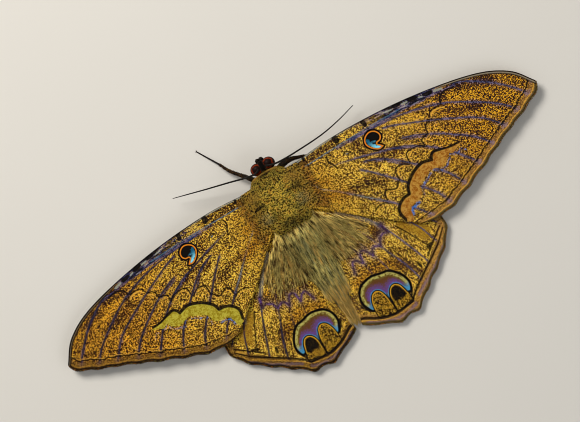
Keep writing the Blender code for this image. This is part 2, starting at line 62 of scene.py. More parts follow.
# Body, with the same sizes as the solids
THORAX_CENTRE = (0.0, -6.4, 6.2)
THORAX_HALF = (6.9, 9.4, 4.6)
THORAX_LENGTH_POWER = 2.6
THORAX_SECTION_POWER = 2.3
HEAD_CENTRE = (-0.4, -17.1, 6.1)
HEAD_HALF = (2.6, 2.4, 2.6)
EYE_CENTRE = (1.8, -17.3, 6.3)
EYE_HALF = (1.85, 1.75, 1.9)
EYE_INNER_X = 0.65
ABDOMEN_FRONT = 0.6
ABDOMEN_TAIL = 31.2
ABDOMEN_HALF_WIDTH = 4.2
ABDOMEN_HEIGHT_SHARE = 0.88
ABDOMEN_FRONT_Z = 5.6
ABDOMEN_TAIL_DROP = 3.2

# Skin and coat
SKIN_DEPTH = 0.25
VOXEL = 0.22
HEAD_CORE_SHARES = (0.74, 1.0, 0.82)
BROW_HEIGHT = 1.75
BODY_EDGE = 1e-3

# Wings, with the same sizes as the solids
WING_LOW = 1.7
WING_RISE = 5.2
WING_RISE_REACH = 12.0
SHOULDER_HALF_WIDTH = 6.3
SHOULDER_BACK = 1.0
FOREWING_LIFT = 1.3
FOREWING_CAMBER = 0.7
FOREWING_LENGTH = 75.0
SCALLOP_DEPTH_SHARE = 0.123

# Wing sheets: their veins, the distance that the marks are measured out to, and the fringe
ROUNDING = 3
FAR = 4.0
FAINT_VEIN = 30.0
RIDGE_HEIGHT = 0.13
RIDGE_REACH = 0.34
TROUGH_DEPTH = 0.1
HINDWING_ROWS_SHARE = 0.6
FRINGE_REACH = 0.55
FOREWING_BLADES = 1500
HINDWING_BLADES = 1200
BLADE_LENGTHS = (0.5, 0.62)
BLADE_HALF_WIDTHS = (0.05, 0.09)

FOREWING_RAYS = (
    ([(4.2, -12.9), (20, -14.4), (40, -13.3), (60, -9.6), (70, -5), (75.2, 1.4)], 0),
    ([(4.6, -11.7), (20, -11.7), (40, -11.1), (55, -9.9), (63, -5.8), (68.5, -0.8), (72.7, 4.6)], 0.7),
    ([(4.9, -10.9), (20, -11), (38, -10.1), (50, -6.9), (58, -2.5), (64, 1.9), (68.2, 6.9)], 0.3),
    ([(5.1, -10.2), (22, -10.3), (33, -9.4), (42, -6), (52, -1.2), (58, 2.6), (63.2, 8.8)], 0.45),
    ([(5.2, -8.8), (20, -8.2), (33, -5.2), (41, -2.6), (48, 1.5), (54, 6.2), (57.7, 11.2)], 0.55),
    ([(5.3, -7.6), (15, -7.8), (25, -5.5), (35, -2.4), (41, 1.1), (46.5, 6.2), (52.2, 13.8)], 0.2),
    ([(5.3, -6.6), (15, -6.8), (24, -4.4), (30, -1.6), (36, 3.6), (42, 9.7), (45.7, 16.6)], 0.4),
    ([(5.3, -5.5), (14, -6), (20.5, -4.2), (26, 0.6), (32, 7.2), (37, 13), (39.6, 18.9)], 0.4),
    ([(5.3, -4.4), (11, -3.4), (20, 4.3), (26, 9.9), (31, 15), (33.9, 19.4)], 0.15),
    ([(5, -1.6), (10, 2.5), (15, 6.9), (20, 10.9), (25, 14.9), (28.5, 17.5), (30.4, 18.4)], 2),
)
FOREWING_SCALLOPS = (-0.6, 0.35, 0.4, 0.45, 0.5, 0.6, 0.6, 0.3, 0)

HINDWING_RAYS = (
    ([(3.6, -2.8), (15, 2), (25, 8.6), (31, 13.2), (34.8, 17.6)], 2),
    ([(3.6, -2.2), (15, 4), (24, 11.2), (30, 16.8), (35, 22.4)], 0.3),
    ([(3.6, -1.6), (12, 3.4), (18, 8.4), (24, 12.9), (27.8, 18.2), (30, 24), (31.1, 27.4)], 0.15),
    ([(3.5, -1), (12, 5), (16.5, 8.8), (20, 14.5), (23, 21.5), (25.2, 27.5), (26.3, 31.2)], 0.15),
    ([(3.4, -0.4), (10.5, 6), (14, 12), (17.3, 20), (20, 26.5), (21.9, 34.4)], 0.3),
    ([(3.3, 0.2), (9.5, 8), (12.5, 15.5), (15, 24), (16.3, 32), (16.5, 38.5)], 0.3),
    ([(3.2, 0.8), (8, 8), (9.8, 16), (10.7, 25), (11.2, 33), (10.9, 38.9)], 0.25),
    ([(3.1, 1.4), (6.4, 9), (6.6, 18), (6, 27), (5.2, 36)], 2),
    ([(3, 2.2), (4.2, 10), (2.9, 20), (1.5, 29), (0.9, 33.6)], 2),
)
HINDWING_SCALLOPS = (0.2, 0.3, 0.5, 0.7, 0.8, 1.1, 0.3, -0.1)

# Markings of the forewing: each stroke is (half width, points).
FOREWING_STROKES = {
    "ink": (
        (0.42, [(26, 15), (25.6, 12.6), (26.6, 10.9), (28.5, 9.8), (30.4, 9.6)]),
        (0.44, [(30.4, 9.6), (31.1, 7.7), (33.1, 5.9), (35.4, 4.7), (37.7, 4.2), (40.2, 4.8)]),
        (0.4, [(40.3, 4.9), (40.7, 3.9), (41.8, 3.2), (43.5, 3.6)]),
        (0.28, [(43.5, 3.6), (46, 4.3), (48.9, 4.5)]),
        (0.19, [(20.1, 8.9), (21, 8.3), (22.4, 8.1), (23.8, 8.5), (25.2, 9.4)]),
        (0.21, [(24.5, 8), (24.7, 6.3), (25.6, 5.6), (27, 6.1), (28.3, 6.5), (29.6, 5.2)]),
        (0.18, [(30.2, 5), (30.2, 2.6), (31.2, 1.7), (33, 1.8), (34.5, 2.8)]),
        (0.17, [(34.9, 2.2), (35.2, 0.1), (36.9, -0.5), (39.5, -0.1), (40.6, 1)]),
        (0.18, [(40.7, 0.6), (40.7, -1), (42, -1.6), (43, -1.9), (43.3, -3.3), (44.1, -4.2), (45.2, -4.4)]),
        (0.16, [(45.7, -5.2), (46.3, -6.3), (47.4, -6.7), (49.6, -6.6)]),
        (0.22, [(50.2, -6.9), (50.5, -8.1), (51.5, -8.9), (53.2, -9.3), (55.6, -8.9)]),
        (0.2, [(16.6, -10.6), (16.2, -9.2), (17, -7.6), (17.4, -6.4)]),
        (0.16, [(20.7, -8.6), (21.4, -9.1), (22.2, -8.7), (22.9, -7.7)]),
        (0.35, [(10.9, -14.2), (10.8, -12.6)]),
        (0.75, [(20.9, -14.3), (21.1, -12.9)]),
        (0.6, [(29.6, -14), (29.8, -12.6)]),
        (0.5, [(38.8, -12.9), (40.4, -12.6)]),
        (0.5, [(43.4, -12.2), (45.2, -11.9)]),
        (0.45, [(47.5, -11.3), (49.4, -10.9)]),
    ),
    "bloom": (
        (0.14, [(20, -11), (26, -11), (32, -10.9)]),
        (0.4, [(24, -11.1), (31, -11), (36, -11), (42, -10.9), (47, -10.4)]),
        (0.2, [(48, -10.3), (56, -9.2)]),
        (0.1, [(33, -3.2), (35.8, -1.6), (38.6, -0.3)]),
        (0.1, [(36.9, -3.6), (40, -2.5), (42.6, -1.2)]),
        (0.1, [(30, -1), (32, 0.8), (34, 2.6)]),
        (0.1, [(20.4, 5), (22.4, 6.8), (24.4, 8.4)]),
    ),
    "flecks": (
        (0.5, [(28.6, 15.2), (29, 13.6), (30.4, 13.1), (31.6, 13)]),
        (0.3, [(33.8, 12), (34.4, 9.8), (36, 9.1), (38.2, 7.8)]),
        (0.3, [(39.4, 7.6), (41, 8.6), (43.2, 8.2), (44.6, 7)]),
        (0.25, [(45.2, 6), (46.8, 6.8), (48.8, 6.5), (49.6, 7.6)]),
    ),
    "shade": (
        (0.9, [(51.5, -8.2), (54, -8.9), (57, -8.4)]),
        (0.6, [(60, -6.9), (62.6, -6.6), (64.8, -5.4)]),
        (0.6, [(27, -2), (30, -3), (34, -2)]),
        (0.6, [(24.5, -9.5), (25.5, -8), (25.5, -6.5)]),
        (0.5, [(50, -6), (53, -3), (58, -1.5)]),
        (0.6, [(18, 0.5), (22, 1), (26, 3)]),
        (1.2, [(8, -12.8), (19, -13)]),
    ),
    "light": (
        (1, [(53, -6.6), (56, -5.6), (59, -4.6)]),
        (0.8, [(22, -2), (27, -0.5), (29, 0.5)]),
        (0.8, [(32.8, 9.6), (31.6, 10.6)]),
        (0.8, [(38, -8), (43, -6.5)]),
    ),
    "warm": (
        (1.4, [(10, -2), (12.5, -0.5), (16.5, 1)]),
        (1.4, [(56, 0.6), (60, 0.9)]),
        (1.2, [(66, -1), (69, 0.5)]),
        (1, [(9, -5.5), (13, -4.5)]),
    ),
    "pale": (
        (0.1, [(8, -8.6), (9.2, -6.4), (10.9, -3.7), (13, -1.8), (15, 0), (20, 4.3), (25, 8.7)]),
        (0.3, [(50.4, -10.7), (52.4, -10.2)]),
        (0.26, [(41.2, -12.2), (42.6, -12)]),
        (0.22, [(46, -11.4), (46.9, -11.1)]),
        (0.2, [(36.4, -12.6), (38, -12.4)]),
    ),
    "gild": (
        (0.15, [(20.6, 9.8), (21.2, 9), (22.6, 8.6), (24.4, 9.2)]),
        (0.17, [(25.1, 8.2), (25.2, 6.8), (26.3, 6.3), (28.2, 7), (29.8, 6.1)]),
        (0.15, [(30.7, 5.2), (30.8, 3.1), (31.6, 2.3), (33.2, 2.4), (34.2, 3.1)]),
        (0.14, [(35.4, 2.4), (35.8, 0.7), (37.1, 0.1), (39.2, 0.6), (40.2, 1.6)]),
        (0.14, [(41.3, 0.6), (41.4, -0.5), (42.6, -1), (43.6, -1.5), (44, -3.1), (45.2, -3.7)]),
        (0.24, [(46.3, -5.3), (47.3, -6.1), (49.4, -6), (50.4, -5.4)]),
    ),
    "azure": (
        (0.13, [(9, -11.2), (14, -11.3), (20, -11.5), (26, -11.6), (34, -11.5), (40, -11.3)]),
        (0.16, [(21.4, -8.45), (21.8, -8.4)]),
    ),
    "glow": (
        (0.42, [(28.1, -8.4), (28.4, -7.2), (29.2, -6.1), (30.2, -5.4)]),
        (0.22, [(28.4, -7.5), (29.8, -7.4)]),
    ),
}
FOREWING_BAND = [
    (26.2, 15.4), (25.8, 13.8), (25.9, 12.4), (26.8, 11), (28.6, 10), (30.5, 9.8), (31.5, 7.8), (33.3, 6.2),
    (35.5, 5), (37.8, 4.5), (40.2, 5), (41, 4.1), (41.9, 3.5), (43.6, 3.8), (46.6, 4.7), (49.8, 4.9),
    (47.6, 5.6), (46.4, 6.2), (44.9, 5.7), (44, 6.9), (41.8, 7.9), (39.6, 7.2), (38.3, 7.1), (36, 8.2),
    (34, 9.3), (33.4, 11.3), (31.6, 12.4), (29.3, 12.8), (28.5, 14.6), (27.8, 16.2), (26.8, 16.1),
]
COMMA = [
    (31.1, -5.2), (29.9, -5), (28.7, -5.7), (27.8, -6.7), (27.3, -7.9), (27.6, -9.1), (28.6, -10),
    (29.9, -10.3), (31.1, -9.8), (31.8, -8.8), (31.8, -7.8), (31.1, -7), (30.2, -6.9), (29.9, -6.4),
    (30.4, -5.9),
]

# Markings of the hindwing
HINDWING_STROKES = {
    "ink": (
        (0.3, [(3.4, 28.9), (4.2, 30.4), (5.4, 31.7)]),
        (0.3, [(17.9, 30.6), (17.5, 31.8), (16.7, 33.2)]),
        (0.38, [(0.7, 31.6), (2.6, 32.2), (5.3, 33.8), (8.1, 34.9), (11.2, 35.35), (14.8, 34.9),
                (16.5, 34.3)]),
        (0.26, [(16.5, 34.3), (17.9, 33.1), (20.5, 31.2), (22.8, 29.7), (25.2, 28.2), (27.8, 26.5),
                (30, 25)]),
        (0.2, [(30, 25), (31.7, 23.4), (33.4, 21.9)]),
        (0.2, [(25.9, 26.3), (27.4, 25.2), (30, 23.2), (31.3, 22.2), (32.9, 21.1)]),
        (0.45, [(27.2, 24.4), (28.4, 24)]),
        (0.36, [(22.6, 26.6), (22.9, 27.8)]),
        (0.18, [(22.6, 15), (24.8, 18.8), (25.9, 21.2), (27.4, 23.8)]),
        (0.14, [(21.4, 22.6), (21.7, 24.8)]),
        (0.13, [(17.2, 24), (18.3, 27)]),
        (0.13, [(18.8, 20.4), (20.6, 25.4)]),
        (0.14, [(11, 29.6), (11.1, 32), (11.1, 35.2)]),
    ),
    "bloom": (
        (0.2, [(6.5, 20.4), (7.4, 17.8), (8.1, 17.4), (9, 17.9), (10, 19.2)]),
        (0.2, [(10, 19.2), (10.4, 16.8), (11.2, 16.1), (12.1, 16.5), (13.3, 18.8)]),
        (0.2, [(13.3, 18.8), (13.9, 17.3), (15, 16.9), (16.5, 17.6)]),
        (0.2, [(16.5, 17.6), (17, 16.1), (17.8, 15.4), (19, 15), (20, 15.5)]),
        (0.32, [(19.3, 12.6), (20, 15.2)]),
    ),
    "flecks": (
        (0.4, [(2.6, 33.6), (5.6, 35.3), (8.4, 36.3), (10.6, 36.8), (14, 36.7), (16.6, 35.9)]),
        (0.4, [(18.6, 34.1), (21, 32.7), (23.6, 31.3), (26, 29.9), (28.8, 28.1), (31, 26.3)]),
    ),
    "shade": (
        (0.5, [(6.8, 16), (9, 14.8), (13, 14.7), (17, 14.4), (19, 12.6)]),
        (0.7, [(19, 24), (21.5, 28.5)]),
        (0.5, [(2.6, 26), (2.4, 29)]),
    ),
    "light": (
        (0.8, [(20.6, 16.8), (21.2, 19)]),
        (0.7, [(24.4, 26.4), (26, 25.2)]),
    ),
    "warm": (
        (1.8, [(6, 23.4), (10, 22.2), (14.5, 22.6), (18, 24.6)]),
        (0.8, [(15, 12), (17, 13)]),
    ),
    "pale": (
        (0.16, [(24.8, 14.3), (25.6, 15.3), (26.3, 16.6)]),
        (0.5, [(11, 3.6), (13.6, 6.4), (16.5, 9.4), (18.6, 12)]),
    ),
    "gild": (
        (0.13, [(0.8, 32.4), (2.8, 33), (5.3, 34.5), (8.1, 35.6), (11.2, 36), (14.8, 35.6), (16.9, 34.8)]),
        (0.13, [(16.9, 34.8), (18.3, 33.6), (20.9, 31.8), (23.2, 30.3), (25.6, 28.8), (28.2, 27.1),
                (30.4, 25.6)]),
        (0.12, [(30.4, 25.6), (32.1, 24), (33.8, 22.5)]),
        (0.15, [(18.3, 28.8), (18.6, 29.8), (18.4, 31.2), (17.6, 32.7)]),
        (0.13, [(3, 29.6), (3.1, 30.9), (4.2, 31.9)]),
        (0.3, [(30.6, 23.8), (32.6, 22)]),
    ),
    "plain": (
        (1.1, [(24, 15.4), (26.6, 18.6), (28, 21.4)]),
        (0.9, [(27.2, 17.4), (29.6, 20.2)]),
    ),
}
EYESPOT = [
    (4.1, 29), (4.1, 27.4), (4.7, 25.7), (6, 24.3), (7.8, 23.6), (10, 23.35), (11.8, 23.8), (13.2, 24.05),
    (14.7, 24.4), (16.1, 25.7), (17.3, 27.4), (17.95, 29.2), (17.85, 30.8), (17.1, 32.2), (16.3, 32),
    (11, 31), (6, 31.8), (4.8, 30.6),
]
LEFT_LOBE = [
    (5.9, 34), (5.9, 31.8), (6.2, 29.8), (6.9, 28.2), (8, 27.3), (9.2, 27.3), (10.2, 28.2), (10.8, 29.9),
    (11, 32), (11, 35.2), (8.5, 34.9),
]
RIGHT_LOBE = [
    (11.2, 35.2), (11.3, 32), (11.5, 30.2), (12.3, 28.8), (13.5, 28.1), (14.8, 28.4), (15.7, 29.6),
    (16.2, 31.4), (16.5, 33), (16.4, 35), (13.5, 35.1),
]
PUPIL = [
    (12, 32), (12, 30.8), (12.5, 29.4), (13.6, 28.8), (14.6, 29.1), (15.3, 30.4), (15.7, 32),
    (14.9, 32.5), (13.5, 32.3), (12.6, 32.6),
]

# Limbs: each point is (x, y, z, radius).
FRONT_LEG_OUT = (
    (2.2, -13, 3, 0.9), (3.8, -15.4, 2.9, 0.75), (5.2, -17.3, 3.3, 0.55), (8.5, -21.4, 2.3, 0.38),
    (10.3, -24.8, 1.1, 0.26), (12.6, -28.7, 0.26, 0.2), (13.9, -31, 0.22, 0.17),
)
FRONT_LEG_TUCKED = (
    (2.2, -13, 3, 1), (4.2, -15, 3.1, 0.85), (7.2, -15.4, 2.8, 0.65), (10, -14.7, 1.5, 0.36),
    (13.4, -13.6, 0.3, 0.24), (16, -13, 0.26, 0.2),
)
MIDDLE_LEG = (
    (2.8, -8, 3, 1.05), (6, -6.5, 3.5, 0.8), (10, -4.6, 3, 0.55), (13.8, -2.6, 1.4, 0.36),
    (17, -0.8, 0.3, 0.24), (20, 0.9, 0.26, 0.2),
)
HIND_LEG = (
    (2.8, -2.6, 3, 1.05), (5.6, 1.5, 3.1, 0.8), (7.8, 6.5, 2.4, 0.6), (9.2, 12, 1.1, 0.36),
    (10.4, 17, 0.3, 0.24), (11.2, 20.6, 0.26, 0.2),
)
MIDDLE_SPURS_AT = (3,)
HIND_SPURS_AT = (2, 3)
SPUR_LENGTH = 2.0
SPUR_RADIUS = 0.2
CLAW_LENGTH = 0.45
CLAW_RADIUS = 0.1
FEELER_TO_SIDE = (
    (0.9, -16.9, 8.1, 0.3), (2.3, -16.4, 8.7, 0.28), (5, -16.9, 8, 0.26), (10, -18.4, 6.8, 0.23),
    (16, -20.1, 5.6, 0.2), (21, -21.6, 4.6, 0.16), (25.7, -23, 3.8, 0.1),
)
FEELER_ALONG_WING = (
    (1.4, -16.9, 8.1, 0.3), (2.8, -16.3, 8.7, 0.28), (5.2, -15.9, 8.1, 0.26), (10, -15.9, 7, 0.23),
    (18, -16.3, 5.6, 0.2), (24, -17.3, 4.8, 0.16), (29.8, -18.8, 4.2, 0.1),
)
PALP = ((0.6, -18.2, 4.6, 0.44), (0.52, -19, 5, 0.48), (0.5, -19.3, 5.9, 0.46), (0.5, -19.3, 6.9, 0.3))
PROBOSCIS_Y, PROBOSCIS_Z = -17.9, 1.8
PROBOSCIS_RADIUS = 1.2
PROBOSCIS_PITCH = 0.8
PROBOSCIS_TURNS = 1.25
PROBOSCIS_THICKNESS = 0.22
PROBOSCIS_STEPS = 26
THORN_CLEARANCE = 0.12
FEELER_BEAD = 0.42
LEG_BEAD = 1.5

# Tufts: their widths at the stations along them, and the pair of irrational steps that scatters them
STATIONS = np.array((0.0, 0.35, 0.7, 1.0))
TAPER = np.array((0.8, 1.0, 0.62, 0.0))
NUDGE = 0.02
UV_PATCH = 0.003
TUFT_SINK = 0.25
TUFT_MIDDLE = 0.6
TUFT_WIDTHS = (0.7, 1.25)
TUFT_LIFTS = (0.4, 1.3)
TUFT_THICKNESS = 0.7
SPREAD_STEPS = (0.7548776662, 0.5698402910)

# Paint
LATTICE_TURN = (0.6, 0.5, 0.3)
SPECKLE_STEPS = ((0.46, 0.49), (0.507, 0.535), (0.555, 0.6))
FACET_SCALE = 9000.0
EYE_BLACK = (0.004, 0.002, 0.002)

# Stage
CAMERA_AIM = (-0.17, -7.17, 3.0)
CAMERA_DISTANCE = 450.0
CAMERA_ROLL = 31.233
CAMERA_TILT = 7.0
PICTURE_WIDTH = 158.1
SENSOR_WIDTH = 36.0
FLOOR_SIZE = 4.0
LAMP_DISTANCE = 620
KEY_SIZE, FILL_SIZE = 260, 420


# Shader maths

class Value:
    """A shader socket that takes part in Python expressions."""

    def __init__(self, paint, socket):
        self.paint, self.socket = paint, socket

    def __add__(self, other):
        return self.paint.math("ADD", self, other)

    def __sub__(self, other):
        return self.paint.math("SUBTRACT", self, other)

    def __rsub__(self, other):
        return self.paint.math("SUBTRACT", other, self)

    def __mul__(self, other):
        return self.paint.math("MULTIPLY", self, other)

    __radd__, __rmul__ = __add__, __mul__


class Paint:
    """One material and the node tree that its expressions add to."""

    def __init__(self, name, settings, side=""):
        self.settings, self.side = settings, side
        self.material = bpy.data.materials.new(name)
        self.material.use_nodes = True
        self.tree = self.material.node_tree
        self.tree.nodes.clear()
        metres = self.node("TexCoord", output="Object")
        self.place = self.node("VectorMath", {"operation": "SCALE"}, {0: metres, "Scale": 1.0 / MM})
        self.turned = self.node("Mapping", inputs={"Vector": self.place, "Rotation": LATTICE_TURN})

    def node(self, kind, settings=None, inputs=None, output=0):
        """Adds a node with its settings and the values or links of its sockets, and gives one output."""
        made = self.tree.nodes.new("ShaderNode" + kind)
        for name, value in (settings or {}).items():
            setattr(made, name, value)
        for key, value in (inputs or {}).items():
            if isinstance(value, Value):
                self.tree.links.new(value.socket, made.inputs[key])
            else:
                made.inputs[key].default_value = value
        return made if output is None else Value(self, made.outputs[output])

    def math(self, operation, *values):
        return self.node("Math", {"operation": operation}, dict(enumerate(values)))

    def most(self, first, second):
        return self.math("MAXIMUM", first, second)

    def attribute(self, name):
        return self.node("Attribute", {"attribute_name": name}, output="Fac")

    def axes(self):
        """The x and y of the painted place, in millimetres."""
        split = self.node("SeparateXYZ", inputs={0: self.place}, output=None)
        return [Value(self, split.outputs[axis]) for axis in (0, 1)]

    def step(self, value, low, high):
        """0 below low and 1 above high, with a smooth rise between them."""
        sockets = {"Value": value, "From Min": low, "From Max": high}
        return self.node("MapRange", {"interpolation_type": "SMOOTHSTEP"}, sockets)

    def noise(self, size, detail=2.0, roughness=0.5, place=None):
        """Noise whose features are about this many millimetres across.

        Its lattice is turned, because noise is weakest along the planes of its lattice, and wings are flat.
        """
        sockets = {"Vector": place or self.turned, "Scale": 1.0 / size}
        return self.node("TexNoise", inputs={**sockets, "Detail": detail, "Roughness": roughness})

    def cells(self, size):
        """A random value for each of many cells about this many millimetres across."""
        colour = self.node("TexVoronoi", inputs={"Vector": self.turned, "Scale": 1.0 / size}, output="Color")
        return self.node("SeparateColor", inputs={0: colour})

    def tone(self, colour):
        """A colour, which may be given by its name in the settings, with or without this side's name."""
        if isinstance(colour, str):
            name = colour if hasattr(self.settings, colour) else f"{colour}_{self.side}"
            colour = getattr(self.settings, name)
        return colour if isinstance(colour, Value) else (*colour[:3], 1.0)

    def mix(self, factor, first, second):
        """The first colour, turned to the second where the factor is 1."""
        sockets = {0: factor, 6: self.tone(first), 7: self.tone(second)}
        return self.node("Mix", {"data_type": "RGBA"}, sockets, output=2)

    def two_tone(self, level, first, second, low=0.4, high=0.6):
        """The first colour where the level is low and the second where it is high."""
        return self.mix(self.step(level, low, high), first, second)

    def blend(self, colour, inside, over, strength=1.0, soft=0.08):
        """The colour, with another laid over it where the inside distance is above 0."""
        return self.mix(self.step(inside, -soft, soft) * strength, colour, over)

    def near(self, value, target, half):
        """How far inside a line of this half width the value is."""
        return half - self.math("ABSOLUTE", value - target)

    def join(self, x, y):
        """A place whose coordinates are two values."""
        return self.node("CombineXYZ", inputs={0: x, 1: y})

    def finish(self, colour, roughness, height, depth, specular=0.5, gloss=None):
        """Ends the tree in one shader over a bump of this depth in millimetres."""
        bump = self.node("Bump", inputs={"Strength": 1.0, "Distance": depth * MM, "Height": height})
        inputs = {"Base Color": colour, "Roughness": roughness, "Normal": bump, **(gloss or {})}
        shader = self.node("BsdfPrincipled", inputs={**inputs, "Specular IOR Level": specular})
        self.node("OutputMaterial", inputs={"Surface": shader}, output=None)
        return self.material


# Curves and fields in the plan

def smooth_line(points, steps=8):
    """A Catmull-Rom curve through the points, as an array of closely spaced ones."""
    points = np.asarray(points, float)
    ends = np.vstack([2 * points[0] - points[1], points, 2 * points[-1] - points[-2]])
    t = np.linspace(0.0, 1.0, steps, endpoint=False)[:, None, None]
    before, start, end, after = ends[:-3], ends[1:-2], ends[2:-1], ends[3:]
    cubed = (3 * start - before - 3 * end + after) * t**3
    squared = (2 * before - 5 * start + 4 * end - after) * t**2
    curve = (2 * start + (end - before) * t + squared + cubed) / 2
    return np.vstack([curve.transpose(1, 0, 2).reshape(-1, points.shape[1]), points[-1:]])


def lengths_along(curve):
    return np.append(0.0, np.cumsum(np.linalg.norm(np.diff(curve[:, :3], axis=0), axis=1)))


def along(curve, shares):
    """The points at these shares of the curve's length."""
    reached = lengths_along(curve)
    wanted = np.asarray(shares) * reached[-1]
    return np.stack([np.interp(wanted, reached, column) for column in curve.T], -1)


def unit(vectors):
    return vectors / np.maximum(np.linalg.norm(vectors, axis=-1, keepdims=True), 1e-12)


def to_line(places, curve):
    """How far each place is from the line."""
    start, run = curve[:-1], np.diff(curve, axis=0)
    offset = places[:, None] - start
    share = ((offset * run).sum(-1) / (run**2).sum(-1)).clip(0.0, 1.0)
    return np.linalg.norm(offset - share[..., None] * run, axis=-1).min(1)


def near_line(places, curve):
    low, high = curve.min(0) - FAR, curve.max(0) + FAR
    return ((places > low) & (places < high)).all(1)


def inside_strokes(places, strokes):
    """How far inside the nearest stroke each place is, in millimetres, and negative outside."""
    inside = np.full(len(places), -FAR)
    for half_width, points in strokes:
        curve = smooth_line(points)
        near = near_line(places, curve)
        if near.any():
            inside[near] = np.maximum(inside[near], half_width - to_line(places[near], curve))
    return inside


def inside_outline(places, points):
    """How far inside a closed outline each place is, in millimetres, and negative outside."""
    curve = smooth_line([*points, points[0]], 4)
    inside = np.full(len(places), -FAR)
    near = near_line(places, curve)
    x, y = places[near].T
    crossings = np.zeros(near.sum(), int)
    for (x0, y0), (x1, y1) in zip(curve, curve[1:]):
        if y0 != y1:
            crossings += ((y0 > y) != (y1 > y)) & (x < (x1 - x0) * (y - y0) / (y1 - y0) + x0)
    inside[near] = to_line(places[near], curve) * np.where(crossings % 2, 1.0, -1.0)
    return inside


# Meshes

def read_points(mesh):
    points = np.empty(len(mesh.vertices) * 3, np.float32)
    mesh.vertices.foreach_get("co", points)
    return points.reshape(-1, 3).astype(float)


def write_points(mesh, points):
    mesh.vertices.foreach_set("co", np.asarray(points, np.float32).ravel())
    mesh.update()


def to_world(points):
    """Plan millimetres as metres in the frame."""
    return (points - (0.0, PLAN_CENTRE_Y, 0.0)) * MM


def to_plan(points):
    return points / MM + (0.0, PLAN_CENTRE_Y, 0.0)


def give(mesh, **fields):
    """Stores each field of numbers as an attribute of the mesh's points."""
    for name, values in fields.items():
        layer = mesh.attributes.new(name, "FLOAT", "POINT")
        layer.data.foreach_set("value", np.asarray(values, np.float32).ravel())


def select(*pieces):
    """Selects these pieces and no others, and makes the first the active one."""
    bpy.ops.object.select_all(action="DESELECT")
    for piece in pieces:
        piece.select_set(True)
    if pieces:
        bpy.context.view_layer.objects.active = pieces[0]


def apply_modifier(piece, kind, **settings):
    select(piece)
    bpy.ops.object.modifier_add(type=kind)
    modifier = piece.modifiers[-1]
    for name, value in settings.items():
        setattr(modifier, name, value)
    bpy.ops.object.modifier_apply(modifier=modifier.name)


def register_piece(piece, name, slot, material, replaced=()):
    """Names a finished piece, paints it and ties it to the frame."""
    piece.name = piece.data.name = name
    piece.data.materials.clear()
    piece.data.materials.append(material)
    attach(piece, "root")
    if replaced:
        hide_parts(*replaced)


def mesh_from(name, points, triangles):
    """An object of these plan points and triangles, shaded smooth."""
    mesh = bpy.data.meshes.new(name)
    mesh.vertices.add(len(points))
    mesh.vertices.foreach_set("co", to_world(points).astype(np.float32).ravel())
    mesh.loops.add(triangles.size)
    mesh.loops.foreach_set("vertex_index", triangles.astype(np.int32).ravel())
    mesh.polygons.add(len(triangles))
    mesh.polygons.foreach_set("loop_start", np.arange(0, triangles.size, 3, dtype=np.int32))
    mesh.polygons.foreach_set("use_smooth", np.ones(len(triangles), bool))
    mesh.update(calc_edges=True)
    piece = bpy.data.objects.new(name, mesh)
    bpy.context.scene.collection.objects.link(piece)
    return piece


def shaped_sphere(segments, rings, place):
    """A sphere with its poles along Y, whose unit points place moves to plan points."""
    select()
    bpy.ops.mesh.primitive_uv_sphere_add(segments=segments, ring_count=rings, radius=1.0, calc_uvs=False)
    piece = bpy.context.object
    x, y, z = read_points(piece.data).T
    write_points(piece.data, to_world(place(np.stack([x, z, -y], -1))))
    bpy.ops.object.shade_smooth()
    return piece


def tube(points, spacing=0.5, resolution=4, beads=None):
    """A closed round tube through the points, whose radius beads(distance) swells or narrows."""
    curve = smooth_line(points)
    length = lengths_along(curve)[-1]
    placed = along(curve, np.linspace(0.0, 1.0, max(6, round(length / spacing)) + 1))
    radii = placed[:, 3]
    if beads:
        radii = radii * beads(lengths_along(placed))
    select()
    bpy.ops.curve.primitive_bezier_curve_add()
    guide = bpy.context.object.data
    guide.splines.clear()
    guide.bevel_depth = MM
    guide.bevel_resolution = resolution
    guide.use_fill_caps = True
    spline = guide.splines.new("POLY")
    spline.points.add(len(placed) - 1)
    world = np.column_stack([to_world(placed[:, :3]), np.ones(len(placed))])
    spline.points.foreach_set("co", world.astype(np.float32).ravel())
    spline.points.foreach_set("radius", radii.astype(np.float32))
    bpy.ops.object.convert(target="MESH")
    piece = bpy.context.object
    bpy.ops.object.mode_set(mode="EDIT")
    bpy.ops.mesh.select_all(action="SELECT")
    bpy.ops.mesh.remove_doubles(threshold=1e-6)
    bpy.ops.mesh.normals_make_consistent(inside=False)
    bpy.ops.object.mode_set(mode="OBJECT")
    bpy.ops.object.shade_smooth()
    return piece


def mirrored(points, side):
    return [(side * x, *rest) for x, *rest in points]


# Body surfaces

def round_off(share, power):
    """How wide a superellipse is at this share of its half length."""
    return np.maximum(0.0, 1.0 - np.abs(share) ** power) ** (1.0 / power)


def section(angle, power):
    """The x and z of a unit superellipse at this angle from its top."""
    x, z = np.sin(angle), np.cos(angle)
    reach = (np.abs(x) ** power + np.abs(z) ** power) ** (-1.0 / power)
    return x * reach, z * reach


def thorax_cover(angle, y, grow=0.0):
    """A point of the thorax, at an angle from its top and a place along it."""
    size = round_off((y - THORAX_CENTRE[1]) / (THORAX_HALF[1] + grow), THORAX_LENGTH_POWER)
    x, z = section(angle, THORAX_SECTION_POWER)
    x = x * (THORAX_HALF[0] * size + grow)
    z = THORAX_CENTRE[2] + z * (THORAX_HALF[2] * size + grow)
    return np.stack([x, y + 0.0 * x, z], -1)


def abdomen_at(y):
    """The abdomen's half width and the height of its middle line, at a place along it."""
    share = ((y - ABDOMEN_FRONT) / (ABDOMEN_TAIL - ABDOMEN_FRONT)).clip(0.0, 1.0)
    half = ABDOMEN_HALF_WIDTH * (1.0 - share**1.15) ** 0.8 * np.sqrt(1.0 - (1.0 - share) ** 14)
    return half, ABDOMEN_FRONT_Z - ABDOMEN_TAIL_DROP * share**0.9


